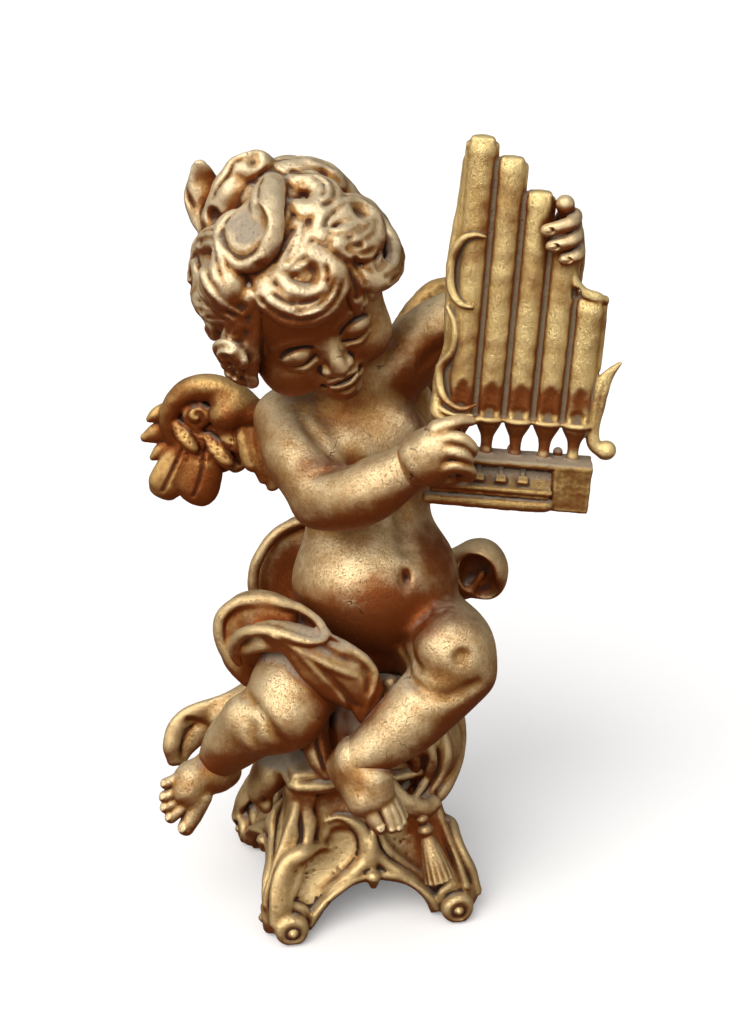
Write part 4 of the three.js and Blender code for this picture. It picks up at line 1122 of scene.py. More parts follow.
# Dark hollows in the curls: azimuth, elevation, lift, radius.
HOLLOWS = [
    (150, 77, 22, 5.0), (79, 70, 14, 5.4), (66, 39, 15, 5.6),
    (29, 46, 12, 3.2), (60, 12, 13, 4.0), (45, 19, 12, 3.2),
    (7, 38, 12.0, 6.4), (58, 16, 10, 4.6), (-100, 50, 11, 3.0),
    (-22, 49, 12, 3.0), (-118, 62, 9, 4.0), (100, 52, 13, 3.4),
]


def lock_path(rows, thin=1.0):
    """The middle line of a lock whose rows give where its outside shows."""
    points = [(*over_head(az, el, lift - 0.85 * radius * thin), radius) for az, el, lift, radius in rows]
    path = smooth_path(points, 5)
    out = path[:, :3] / np.linalg.norm(path[:, :3], axis=1, keepdims=True)
    side = np.cross(np.gradient(path[:, :3], axis=0), out)
    return path, out, side / np.linalg.norm(side, axis=1, keepdims=True)


def out_turn(out):
    """Rotation whose z axis points out from the head, and whose y axis points up as far as it can."""
    east = unit(np.cross((0, 0, 1), out))
    return np.stack([east, np.cross(out, east), out], axis=1)


def comb(clay, rows, share, width, first, last):
    """A soft groove along a lock, at a share of its half width, between two shares of its length."""
    path, out, side = lock_path(rows)
    start, stop = int(first * len(path)), max(int(last * len(path)), 6)
    path, out, side = path[start:stop], out[start:stop], side[start:stop]
    line = path[:, :3] + side * path[:, 3:] * share + out * path[:, 3:] * 2
    line = clay.press(np.hstack([line, np.full((len(line), 1), width)]), -out, -0.4 * width, 16)
    line[1, 3] = line[-2, 3] = 0.4
    clay.carve(stroke(line[1:-1], 1), 1.8)


def snail(clay, azimuth, elevation, lift, size, start, spin):
    """A spiral curl: a low dome with a groove that winds in to its eye."""
    centre = over_head(azimuth, elevation, lift)
    out = unit(centre)
    turn = out_turn(out)
    east, north = turn[:, 0], turn[:, 1]
    clay.add([Egg(centre, (size, size * 0.9, size * 0.5), turn)], 1.5)
    rows = []
    for share in np.linspace(0, 1, 20):
        angle = math.radians(start) + spin * share * 1.15 * 2 * math.pi
        radius = size * (0.95 - 0.7 * share**0.8)
        point = centre + radius * (math.cos(angle) * east + 0.9 * math.sin(angle) * north) + out * size * 0.7
        rows.append((*point, 1.0 + 1.0 * math.sin(math.pi * share)))
    clay.carve(stroke(clay.press(rows, -out, -0.2, 14), 1), 2.2)
    clay.carve([Egg(centre + out * size * 0.5, size * 0.17)], 1.4)


def sculpt_hair():
    clay = Clay((-76, -68, -46), (76, 78, 80), 1.0)
    clay.add([Egg((0, 4, 5), (45.5, 45, 43))])
    clay.carve([Egg((0, -52, -26), (34, 32, 52))], 5)
    for azimuth, elevation, lift, size, start, spin in SNAILS:
        snail(clay, azimuth, elevation, lift - 5.0, size * 0.92, start, spin)
    chance = np.random.default_rng(3)
    for name, rows in LOCKS.items():
        flame = name.startswith("flame")
        facing = TO_VIEWER if flame else unit
        thin = THIN.get(name, THIN_USUALLY)
        path, _, _ = lock_path(rows, 0.4 if flame else thin)
        points = np.hstack([path[:, :3], path[:, 3:] * 1.08, path[:, 3:] * thin])
        clay.add(ribbon(points, facing, steps=1), 1.0)
        for share in GROOVES.get(name, GROOVES_USUALLY):
            start, stop = chance.uniform(0.0, 0.3), chance.uniform(0.7, 1.0)
            width = chance.uniform(1.0, 1.9)
            comb(clay, rows, share + chance.uniform(-0.12, 0.12), width, start, stop)
    # The broad tongue of hair over the brow ends in a flat, slightly dished face.
    middle = over_head(-37, 66, 17.5)
    flat = out_turn(unit(middle))
    clay.add([Egg(over_head(-37, 66, 5.5), (11.5, 13, 6), flat)], 2)
    clay.carve([Egg(middle, (14, 15.5, 5.0), flat)], 1.0)
    clay.add([Egg(over_head(6, 41, -4), 9), Egg(over_head(62, 42, 0), 12)], 3)
    # A knot of twisted hair at the viewer's left.
    knot = over_head(-58, 42, 5)
    clay.add([Egg(knot, (12.5, 12.5, 9.5), out_turn(unit(knot)))], 1.5)
    for bend, lean in ((0, 8), (-9, 0), (-18, -9), (9, 15)):
        strand = [(-80 + bend * 0.3, 48 + lean), (-66 + bend * 0.2, 45 + lean),
                  (-54, 37 + lean), (-44 - bend * 0.2, 27 + lean)]
        inward = [-over_head(azimuth, elevation, 0) for azimuth, elevation in strand]
        rows = [(*over_head(azimuth, elevation, 18), 2.0) for azimuth, elevation in strand]
        rows = clay.press(rows, inward, 0.4)
        rows[0, 3] = rows[-1, 3] = 0.8
        clay.add(stroke(rows), 1.0)
    for azimuth, elevation, lift, radius in HOLLOWS:
        clay.carve([Egg(over_head(azimuth, elevation, lift), radius)], 2.2)
    clay.ripple(0.35, 11)
    return skin("hair", clay, HAIR_GILT, ["head"], HEAD)


# ---------- wings ----------

def sculpt_right_wing():
    clay = Clay((-122, -4, 196), (-28, 44, 292), 0.7)
    clay.add([Egg((-74, 22, 248), (24, 5, 23))])
    clay.add([Egg((-50, 20, 250), (18, 8, 17))], 4)
    primaries = [
        [(-64, 20, 246, 8, 4), (-61, 19, 238, 8.5, 4.2), (-57, 18, 232.5, 6, 3.6)],
        [(-85, 20, 242, 7, 4), (-91, 18, 230, 9, 4.6), (-95, 17, 222, 9.5, 4.8), (-97, 17, 218, 7.5, 4)],
        [(-75, 18, 242, 8, 4), (-76, 16, 230, 10.5, 5), (-79, 15, 220, 11, 5.2), (-81, 15, 216, 8.5, 4.2)],
    ]
    tips = [
        [(-90, 23, 262, 4, 3.4), (-98, 22, 258, 4.2, 3.2), (-102.5, 22, 255.5, 2, 2.2)],
        [(-90, 23, 252, 5, 3.6), (-99, 22, 248, 5.4, 3.4), (-105.5, 22, 245.5, 2.6, 2.4)],
        [(-90, 23, 243, 4, 3.4), (-97, 21, 238.5, 4.4, 3.2), (-101.5, 21, 235.5, 2, 2.2)],
    ]
    for rows in tips + primaries:
        clay.add_mass(ribbon(rows, FRONT), 0.8)
    for rows in primaries:
        quill = [(x + 0.5, y, z, 0.8) for x, y, z, *_ in rows]
        clay.carve(stroke(clay.press(quill)), 1.2)
    coverts = [
        [(-79, 15.5, 254, 2.4, 2.2), (-76.5, 14.5, 248, 3.0, 2.4), (-75, 14, 243, 1.4, 1.6)],
        [(-88, 16, 254, 3, 3), (-84, 13, 249, 4.6, 3.4),
         (-80, 11.5, 243.5, 3.6, 3), (-78.5, 11, 241, 1.4, 1.6)],
        [(-72, 14, 248, 3, 3), (-67, 11, 242.5, 5, 3.6),
         (-62.5, 9, 237, 4, 3.2), (-60.5, 9, 234.5, 1.6, 1.6)],
        [(-65, 13, 254, 3, 3), (-61, 10, 249.5, 4.8, 3.6), (-57.5, 9, 245, 3.6, 3), (-56, 9, 243, 1.5, 1.6)],
    ]
    for rows in coverts:
        clay.add_mass(ribbon(rows, (0.2, -1, 0.2)), 0.5)
    clay.stipple((-90, 8, 236), (-54, 12, 256), 2.1, 0.42)
    rim = [(-48, 10, 262, 7, 6), (-58, 13, 270, 7.5, 6.5), (-70, 15, 274, 7, 6.6),
           (-81, 16.5, 272, 6.6, 6.4), (-89, 18, 265, 5.6, 5.8),
           (-92.5, 19, 256, 4.8, 5), (-91.5, 20, 248, 4.2, 4.6), (-88, 20, 242, 3, 3.5)]
    clay.add(ribbon(rim, FRONT), 1.2)
    clay.carve([Egg((-78, 6, 260.5), (9.5, 9.5, 8.5))], 2)
    clay.add([Egg((-77.5, 15, 259.5), (7.4, 5, 7.0))], 2)
    winding = zip(np.linspace(1.6, 7.6, 14), np.linspace(6.6, 2.2, 14))
    whorl = [(-77.5 + r * math.cos(a), 8, 259.5 + r * math.sin(a), 1.2) for a, r in winding]
    clay.carve(stroke(clay.press(whorl, FRONT_IN, -0.3), 1), 2.0)
    clay.add([Egg((-60.5, 10, 262.5), (10.5, 9, 8.6), turn_matrix(y=-25))], 5)
    # Thin feathers fall behind the shoulder.
    for x, low in ((-53, 236), (-49, 229), (-45, 225)):
        rows = [(x - 1, 12, 262, 3.4, 3), (x, 7, 249, 4.2, 3.2),
                (x + 3, 4, 238, 4.2, 3), (x + 6, 4, low, 3.4, 2.4)]
        clay.add_mass(ribbon(rows, FRONT), 0.8)
    back = [(-50, 27, 256, 10, 4), (-68, 28, 250, 16, 4), (-86, 27, 240, 13, 4)]
    clay.add(ribbon(back, (0, 1, 0), 4, 0.35), 2)
    clay.ripple(0.12, 9)
    return skin("right_wing_carved", clay, FEATHER_GILT, ["right_wing"])


def sculpt_left_wing():
    clay = Clay((2, 14, 226), (92, 82, 330), 0.8)
    turn = turn_matrix(z=32)
    wing = placed((22, 34, 290), turn)
    rim = [(0, -2, 0, 7, 6), (10, -3, 14, 8, 6.5), (24, -3, 25, 8, 6.5), (38, -3, 24, 7, 6),
           (48, -3, 14, 6, 5.5), (52, -2, 2, 4.4, 4.6), (50, -2, -8, 3.2, 3.6)]
    feathers = [
        [(46, 0, 4, 4, 3.2), (54, -1, -4, 5, 3.4), (60, -1, -12, 3, 2)],
        [(42, 0, 0, 5, 3.4), (48, -1, -14, 7.5, 4), (52, -1, -26, 7, 3.6), (53, -1, -32, 4, 2.6)],
        [(30, 0, 2, 6, 3.6), (34, -1, -14, 8.5, 4.2), (38, -1, -30, 8.5, 4.2), (40, -1, -38, 5, 3)],
        [(18, 0, 2, 6, 3.6), (20, -1, -12, 7, 4), (24, -1, -24, 6.5, 3.6), (26, -1, -30, 3.5, 2.6)],
    ]
    coverts = [
        [(36, -2, 10, 4, 3), (40, -5, 0, 6.4, 3.6), (44, -5, -10, 3, 2)],
        [(24, -2, 10, 4, 3), (28, -5, 0, 6.4, 3.6), (31, -5, -12, 3, 2)],
        [(12, -2, 8, 4, 3), (15, -5, -2, 6, 3.6), (18, -5, -12, 3, 2)],
    ]
    local = np.array(wing)
    facing = local[:3, :3] @ np.array((0, -1, 0), np.float32)

    def there(rows):
        return [(*(local[:3, :3] @ np.array(r[:3]) + local[:3, 3]), *r[3:]) for r in rows]

    clay.add([Egg(there([(26, 1, 4)])[0], (24, 5, 20), turn)])
    clay.add(ribbon(there(rim), facing), 1.5)
    for rows in feathers:
        clay.add(ribbon(there(rows), facing, 1, 0.22), 0.7)
    for rows in coverts:
        clay.add(ribbon(there(rows), facing, 2, 0.35), 0.6)
    back = [(6, 4, 4, 10, 4), (28, 4, 6, 14, 4), (46, 3, -6, 10, 3)]
    clay.add(ribbon(there(back), -facing, 4, 0.3), 2)
    clay.add([Egg((22, 28, 284), (11, 11, 14))], 4)
    clay.ripple(0.25, 5)
    return skin("left_wing_carved", clay, FEATHER_GILT, ["left_wing"])


# ---------- cloth, carved like the rest ----------

def sculpt_seat():
    clay = Clay((-108, -72, 42), (80, 62, 150), 0.85)
    clay.add([Egg((5, 3, 108), (43, 38, 27))])
    clay.add([Egg((2, 0, 92), (38, 35, 11))], 8)
    # Folds that run down the mound.
    for i in range(16):
        angle = math.radians(22.5 * i + 6)
        lean = 0.25 * math.sin(3.1 * i)
        rows = []
        for share, radius in ((0.0, 34), (0.35, 42), (0.7, 44), (1.0, 36)):
            a = angle + lean * share
            rows.append((5 + radius * math.cos(a), 3 + 0.88 * radius * math.sin(a),
                         128 - 40 * share, 3.2 + 1.4 * math.sin(5 * i + 4 * share)))
        clay.add(stroke(rows), 5)
    clay.soften(1.7)
    # The fall behind the right foot, a hollow fold with a rolled edge.
    clay.add(stroke([(-32, 14, 106, 13), (-52, 14, 101, 10), (-72, 11, 92, 8)]), 6)
    clay.add(ribbon([(-62, 12, 98, 8, 3.4), (-74, 9, 96, 7, 3.4), (-86, 7, 94, 5.4, 3.4),
                     (-94, 4, 88, 5, 3.2), (-97, 1, 78, 4.6, 3.2), (-96, 1, 69, 3.6, 2.8)], FRONT), 2)
    clay.add(ribbon([(-66, 12, 88, 8, 3.4), (-80, 9, 84, 7, 3.4),
                     (-89, 6, 76, 5.4, 3), (-93, 3, 68, 3.4, 2.4)], FRONT), 2)
    clay.carve([Egg((-83, 0, 90), (8, 6, 3.4), turn_matrix(y=30))], 2)
    # The swag at the viewer's right: nested folds like a shell.
    clay.add([Egg((39, -14, 90), (19, 24, 22)), Egg((34, -24, 98), (16, 16, 14))], 6)
    clay.add(stroke([(52, 6, 104, 5), (56, -2, 92, 5.5), (54, -14, 78, 5.5),
                     (46, -28, 67, 5), (36, -38, 66, 4)]), 3)
    for out, back in ((50, 0), (42, 1), (34, 2)):
        rows = [(out - 4, -30, 108 - 4 * back, 1.2), (out, -34, 94 - 3 * back, 2.6),
                (out - 3, -38, 82 - 2 * back, 2.8), (out - 10, -44, 73, 2.2), (out - 18, -48, 72, 1.0)]
        clay.add(stroke(clay.press(rows)), 1.8)
        groove = [(x - 4.5, y - 4, z + 1, 1.6) for x, y, z, _ in rows[1:4]]
        clay.carve(stroke(clay.press(groove, sink=-0.8)), 3)
    clay.add(ribbon([(20, -42, 80, 4, 3), (28, -46, 71, 5, 3.2),
                     (37, -44, 66, 5.5, 3.6), (44, -39, 67, 4, 3)], (0, -1, 0.2)), 2)
    clay.carve(stroke([(25, -51, 74, 0.8), (31, -51, 68, 1.2), (38, -49, 65, 0.8)]), 1.5)
    # The sash's tail, between the legs.
    clay.add(stroke([(-18, -36, 120, 8), (-18, -43, 109, 7.5), (-15, -48, 98, 6.5), (-12, -50, 91, 4)]), 3)
    clay.carve(stroke(clay.press([(-19, -50, 116, 0.8), (-15, -54, 104, 1.2), (-12, -56, 95, 0.6)])), 2)
    clay.ripple(0.12, 11)
    return skin("seat_cloth", clay, CLOTH_GILT, ["seat_drapery"])


def sculpt_lap():
    clay = Clay((-84, -84, 100), (34, 22, 196), 0.7)
    # The outer flap of the sash stands off the hip like a hood.
    outer = [(-50, -22, 130, 7, 4.6), (-56, -23, 142, 10, 5), (-57, -21, 155, 11, 5.2),
             (-53, -21, 164, 12, 5.2), (-43, -26, 168, 12, 5), (-30, -33, 168, 10, 4.6)]
    clay.add(ribbon(outer, (-0.4, -1, 0.3)), 2)
    clay.add(ribbon([(-52, -25, 129, 2.2, 2), (-61, -25, 141, 2.8, 2.2),
                     (-66, -24, 153, 3.2, 2.4), (-65.5, -23, 164, 3.4, 2.4),
                     (-58, -23, 172.0, 3.4, 2.4), (-46, -26, 175.5, 3.4, 2.4),
                     (-34, -32, 176.5, 3, 2.2), (-23, -42, 177, 2.6, 2),
                     (-15, -51, 175, 2.3, 1.9), (-11, -57, 171.5, 2.2, 1.9)], (-0.4, -0.7, 0.5)), 2)
    # The folded lip: a long scoop with a rounded end.
    clay.add(ribbon([(-52, -40, 158, 7, 4), (-42, -45, 164, 8, 4.4),
                     (-30, -50, 166, 8, 4.4), (-18, -55, 166, 6, 4)], (-0.2, -1, 0.9)), 3)
    clay.add(ribbon([(-11, -57, 171.5, 2.0, 1.9), (-12.5, -61, 169.5, 2.2, 1.9),
                     (-20, -62.5, 169.5, 2.5, 2), (-30, -60, 171.5, 2.8, 2.2),
                     (-40, -56.5, 172.5, 3, 2.2), (-49, -52, 170, 3.2, 2.3),
                     (-55, -47, 163.5, 3.4, 2.4), (-57, -43, 155, 3.2, 2.4),
                     (-55, -40, 147, 2.2, 2)], (-0.2, -0.8, 0.6)), 2)
    # Cloth closes the gap between the lip and the thigh.
    clay.add([Egg((-43, -29, 153), (12, 7, 13))], 4)
    clay.carve(stroke([(-47, -46, 176, 2.6), (-36, -48, 178, 3.8),
                       (-25, -54, 177, 3.4), (-17, -58.5, 174.5, 1.8)]), 1.8)
    clay.carve(stroke([(-50, -38, 170, 3.0), (-57.5, -35, 163, 4.2),
                       (-59, -33, 153, 4.2), (-54, -32, 143, 2.6)]), 1.8)
    # The cloth fans out from under the lip over the thigh, in ridges and hollows.
    fan = [(-38, -50, 170, 5, 5), (-27, -55, 166, 8, 5.5), (-14, -57, 157, 13, 6),
           (-2, -56, 148, 15, 5.6), (7, -53, 136, 11, 5), (8, -53, 124, 5, 4)]
    clay.add(ribbon(fan, (-0.1, -1, 0.35)), 3)
    valleys = [
        [(-18, -80, 165, 0.8), (-11, -80, 157, 1.8), (-5, -80, 149, 2.4), (3, -80, 140, 1.4)],
        [(-14, -80, 173, 0.8), (-5, -80, 168, 1.6),
         (5, -80, 163, 1.8), (9, -80, 156, 1.8), (9, -80, 148, 0.8)],
    ]
    for rows in valleys:
        clay.carve(along_surface(clay, rows, 0.0), 2.5)
    clay.soften(1.4)
    ridges = [
        [(-36, -80, 178, 1.2), (-26, -80, 172, 1.6),
         (-14, -80, 158, 1.8), (-6, -80, 148, 1.8), (1, -80, 136, 1.2)],
        [(-25, -80, 172, 0.9), (-10, -80, 163, 1.9), (-1, -80, 159, 2.1), (3, -80, 157, 1.2)],
        [(-11, -80, 180, 1.0), (2, -80, 171, 1.6), (10, -80, 163, 1.8),
         (13, -80, 155, 1.6), (8, -80, 137, 1.0)],
    ]
    for rows in ridges:
        clay.add(along_surface(clay, rows, 0.4), 1.6)
    clay.soften(0.8)
    clay.ripple(0.15, 11)
    return skin("lap_cloth", clay, CLOTH_GILT, ["lap_drapery"])


def sculpt_back_cloth():
    clay = Clay((-80, -10, 108), (96, 62, 214), 0.9)
    # A shell-like loop behind the right hip, dished towards the viewer.
    clay.add(ribbon([(-26, 37, 126, 12, 6), (-33, 38, 144, 18, 7), (-33, 38, 164, 19, 7),
                     (-26, 37, 182, 16, 7), (-18, 36, 193, 9, 5)], FRONT), 2)
    clay.add(stroke([(-30, 28, 128, 3), (-45.5, 27, 143, 3.2), (-52, 26, 158, 3.2), (-50.5, 26, 174, 3.2),
                     (-41.5, 27, 188.5, 3.2), (-30, 28, 196, 3.2), (-18, 29, 198, 3)]), 3)
    clay.carve([Egg((-34, 24, 162), (15, 8, 28), turn_matrix(y=8))], 2)
    clay.add([Egg((-32, 43, 160), (15, 6, 28), turn_matrix(y=8))], 6)

    def outward(place):
        """Away from the upright line through the hips."""
        return np.array((place[0] - 12, place[1] - 4, 0), np.float32)

    # The wrap round the back of the hips, with a few soft folds.
    clay.add(ribbon([(-30, 38, 142, 16, 5), (-8, 46, 140, 18, 6), (18, 49, 142, 18, 6),
                     (40, 42, 148, 17, 6), (52, 28, 158, 14, 6)], outward), 5)
    for lift in (-9, 0, 10):
        clay.add(stroke([(-26, 42, 140 + lift, 2), (-6, 52, 137 + lift, 3.4),
                         (18, 54, 140 + 0.7 * lift, 3.6),
                         (42, 46, 149 + 0.5 * lift, 3), (56, 32, 160, 2)]), 5)
    # The roll behind the left hip, open to the viewer like the mouth of a shell.
    clay.add(stroke([(44, 32, 158, 11), (58, 26, 168, 14), (67, 21, 174, 15)]), 3)
    clay.add([Egg((70, 18, 174), (13, 13, 17), turn_matrix(y=-12))], 3)
    clay.carve([Egg((65.5, 5, 174), (10, 16, 12), turn_matrix(y=-20))], 1.5)
    clay.carve([Egg((71, 6, 165), (7, 12, 8), turn_matrix(y=30))], 1.5)
    clay.add(stroke([(57, 15, 162, 2), (64, 14, 166, 2.2), (69, 14, 173, 2)]), 2.5)
    clay.soften(1.8)
    clay.ripple(0.15, 13)
    return skin("back_cloth", clay, CLOTH_GILT, ["back_drapery"])


# ---------- pedestal, in its own turned frame ----------

PEDESTAL = placed((0, 0, 0), turn_matrix(z=13))
# Half width of the square shell at some heights.
FLANK = [(0, 51), (8, 51), (18, 49.5), (30, 46), (42, 41.5), (54, 38), (66, 36), (90, 35.5)]


class Tower:
    """A square tower whose half width follows a profile of (height, half width)."""

    def __init__(self, profile, low, high, corner=4):
        self.heights, self.halves = zip(*profile)
        self.bottom, self.top, self.corner = low, high, corner
        reach = max(self.halves)
        self.low = np.array((-reach, -reach, low), np.float32)
        self.high = np.array((reach, reach, high), np.float32)

    def distance(self, x, y, z):
        half = np.interp(z.ravel(), self.heights, self.halves).astype(np.float32)
        half = half.reshape(z.shape) - self.corner
        qx, qy = np.abs(x) - half, np.abs(y) - half
        around = np.sqrt(np.maximum(qx, 0) ** 2 + np.maximum(qy, 0) ** 2)
        around = around + np.minimum(np.maximum(qx, qy), 0) - self.corner
        return np.maximum(around, np.maximum(self.bottom - z, z - self.top))


ARCH_HALF, ARCH_RISE = 32.0, 25.0  # half width and height of the oval arches


class Arch:
    """An oval tunnel through one side of the pedestal."""

    def __init__(self, turns):
        self.axis = turns % 2
        self.sign = -1 if turns in (0, 3) else 1
        self.low = np.array((-90, -90, -10), np.float32)
        self.high = np.array((90, 90, 30), np.float32)

    def distance(self, x, y, z):
        across, along = (x, y) if self.axis == 0 else (y, x)
        tunnel = (np.sqrt((across / ARCH_HALF) ** 2 + (z / ARCH_RISE) ** 2) - 1) * ARCH_RISE
        return np.maximum(tunnel, 15 - self.sign * along)


def quarter(rows, turns):
    """Rows of x, y, z, ... turned about the pedestal's axis by some right angles."""
    found = []
    for row in rows:
        x, y = row[:2]
        for _ in range(turns):
            x, y = -y, x
        found.append((x, y, *row[2:]))
    return found


def relief(clay, rows, turns, blend=1.0, raised=True):
    """A band along one face, from rows of x, z, half width, proud, laid on the surface there."""
    inward = quarter([(0, 1, 0)], turns)[0]
    points = quarter([(x, -66, z, wide, proud) for x, z, wide, proud in rows], turns)
    points = clay.press(points, inward, 0.2, 40)
    band = ribbon(points, quarter([(0, -1, 0.3)], turns)[0])
    if raised:
        clay.add(band, blend)
    else:
        clay.carve(band, blend)


def sculpt_face_relief(clay, turns):
    """One side of the pedestal: the corner's leaf, C-scrolls, arch rim and keystone bead."""
    # Sunk fields first: the upper one, the broad one at the left and the rough one at the right.
    relief(clay, [(-26, 69, 6, 2.0), (-14, 66, 8, 2.6), (0, 66, 9, 2.6), (26, 68, 6, 2.0)],
           turns, 3, raised=False)
    relief(clay, [(-12, 50, 7, 2.4), (-14, 42, 9, 2.8), (-24, 35, 9, 3.2),
                  (-35, 28, 9, 3.4), (-41, 17, 7, 3.0)], turns, 3, raised=False)
    relief(clay, [(14, 58, 6, 2.4), (17, 47, 8, 3.0), (26, 36, 7, 3.0), (34, 25, 4, 2)],
           turns, 2.5, raised=False)
    relief(clay, [(-36.5, 70, 0.8, 1.0), (-35.5, 62, 1.0, 1.3),
                  (-35.5, 54, 0.9, 1.2), (-37, 49, 0.6, 1.0)], turns, 2.5, raised=False)
    # The corner ends in a broad leaf that points to the middle of the face; its tail runs down the corner.
    relief(clay, [(-21, 42.5, 0.9, 1.8), (-28, 45.2, 2.6, 3.2),
                  (-35, 45.2, 4.2, 3.8), (-42, 41, 5.6, 3.4), (-47, 33, 6.0, 3.0),
                  (-49, 23, 6.0, 3.0), (-50, 13, 5.4, 2.8)], turns, 2.2)
    # One S-shaped band is the C-scroll and then the left rim of the arch; a lighter one answers it.
    relief(clay, [(-20.5, 57.5, 0.9, 1.4), (-14.6, 58.2, 1.8, 2.6),
                  (-7.0, 54.5, 3.0, 3.2), (-1.8, 48.6, 3.8, 3.6), (-0.4, 41.5, 4.2, 3.6),
                  (-2.4, 35, 3.8, 3.4), (-8, 30.4, 3.2, 3.4), (-15, 26.4, 3.2, 3.4),
                  (-22, 20.8, 3.4, 3.2), (-28, 14, 3.2, 3.2), (-32.5, 7, 2.8, 2.8)],
           turns, 1.0)
    relief(clay, [(3.4, 53, 0.9, 1.4), (2.2, 46, 2.4, 2.8), (3.0, 39, 3.2, 3.2),
                  (7.5, 33.2, 3.2, 3.4), (14.5, 28.2, 3.0, 3.4),
                  (23, 22.4, 2.8, 3.2), (30, 14, 2.6, 3.0), (34.5, 6, 2.4, 2.6)], turns, 1.0)
    relief(clay, [(36, 70, 1.4, 2.0), (38, 58, 1.6, 2.4), (41, 46, 1.8, 2.8),
                  (45.5, 32, 2.0, 3.0), (49, 20, 2.2, 3.0)], turns, 2)
    rim = [(34.4 * math.sin(a), 27.4 * math.cos(a), 2.2, 3.2) for a in np.linspace(-1.3, 1.3, 13)]
    relief(clay, rim, turns, 2)
    inward = quarter([(0, 1, 0)], turns)[0]
    leaf = clay.press(quarter([(0.5, -66, 46, 0.9), (1, -66, 38, 2.8),
                               (1, -66, 31, 2.6)], turns), inward, 0, 40)
    clay.add(stroke(leaf), 3)
    bead = clay.press(quarter([(1, -66, 28.0, 4.0)], turns), inward, 0.0, 40)[0]
    drop = bead + np.array((0, 0, -5.0, -1.8), np.float32)
    clay.add(stroke([bead, drop]), 1.2)
    for low, high in (((10, -56, 34), (32, -52, 60)), ((-40, -56, 12), (-12, -52, 44))):
        low, high = np.sort(np.array(quarter([low, high], turns)), axis=0)
        clay.stipple(low, high, 3.6, 0.5, inward)


def sculpt_boss(clay, x, turns, proud):
    """A scroll's end: a short drum with a rolled lip, a sunk ring and a nipple."""
    front = -(52.0 + proud)
    axis = 1 - turns % 2
    middle = quarter([(x, front + 9, 8.8)], turns)[0]
    clay.add([Drum(middle, 8.6, 9, axis, 3.2)], 2.4)
    ring = [(x + 3.9 * math.cos(a), front - 0.7, 8.6 + 3.9 * math.sin(a), 1.3)
            for a in np.linspace(0, 2 * math.pi, 13)]
    clay.carve(stroke(quarter(ring, turns), 1), 1.2)
    clay.add([Egg(quarter([(x, front, 8.6)], turns)[0], 2.0)], 1.0)
    # The scroll rolls in over the boss.
    over = [(x - 9, front + 9, 11, 1.4), (x - 7, front + 8, 17, 2.2), (x, front + 9, 20, 2.6),
            (x + 7, front + 9, 17, 2.2), (x + 9.5, front + 10, 11, 1.4)]
    clay.add(stroke(quarter(over, turns)), 2)


def sculpt_pedestal():
    clay = Clay((-76, -76, 0), (76, 76, 92), 1.0)
    clay.add([Tower(FLANK, 0, 84, 7)])
    # Each corner is a broad pilaster that sweeps out to a rounded foot.
    for turns in range(4):
        pilaster = [(-34, -34, 80, 9, 4.5), (-33.5, -33.5, 66, 9, 4.5), (-36, -36, 52, 9.5, 5),
                    (-41.5, -41.5, 38, 9.5, 5.5), (-47, -47, 24, 10, 6), (-49, -49, 11, 10, 8)]
        face = quarter([(-1, -1, 0.3)], turns)[0]
        clay.add(ribbon(quarter(pilaster, turns), face), 3)
        edge = [(-60, -54, 74, 1.6), (-60, -56, 60, 2.0), (-60, -58, 46, 2.2),
                (-60, -60, 32, 2.2), (-60, -60, 18, 1.6)]
        clay.add(stroke(clay.press(quarter(edge, turns), quarter([(1, 1, 0)], turns)[0], 1.2, 50)), 5)
    inside = [(z, half - 8) for z, half in FLANK]
    clay.carve([Tower(inside, -5, 68, 8)], 2)
    for turns in range(4):
        clay.carve([Arch(turns)], 1.0)
        sculpt_face_relief(clay, turns)
    for turns in range(4):
        for x in (-44, 44):
            sculpt_boss(clay, x, turns, 10.0 if turns in (0, 2) else 5.0)
    # The moulded cap: a thick slab with an uneven edge, a cove and two thin steps below it.
    clay.add([Block((-39.5, -39.5, 79.5), (39.5, 39.5, 88.5), 3.4)], 1.0)
    for low, half in ((75.6, 37.6), (72.4, 36.4)):
        clay.add([Block((-half, -half, low), (half, half, low + 2.8), 1.1)], 0.6)
    edge = [(-36, -40, 81, 2.6), (-22, -41, 80, 3.2), (-6, -40, 81.5, 2.8),
            (10, -41, 80, 3.2), (26, -40, 81.5, 2.8), (37, -39, 81, 2.4)]
    for turns in range(4):
        clay.add(stroke(quarter(edge, turns)), 2.5)
    # A rounded volute hangs from the top of the side at the viewer's left.
    clay.add([Egg((-45, -10, 76), (10, 12, 13), turn_matrix(y=15))], 5)
    clay.add([Egg((-51, -10, 67), (7, 9, 10), turn_matrix(y=25))], 5)
    clay.add([Egg((-49, -12, 57), (4, 5, 6))], 4)
    clay.carve([Egg((-50, -20, 61), (2.4, 3.4, 3.0))], 2)
    clay.add([Egg((43, -8, 66), (6, 8, 9))], 4)
    clay.keep([Block((-90, -90, FLOOR_GAP), (90, 90, 95), 0.0)])
    clay.ripple(0.35, 17)
    return skin("pedestal_carved", clay, PEDESTAL_GILT, ["pedestal"], PEDESTAL)


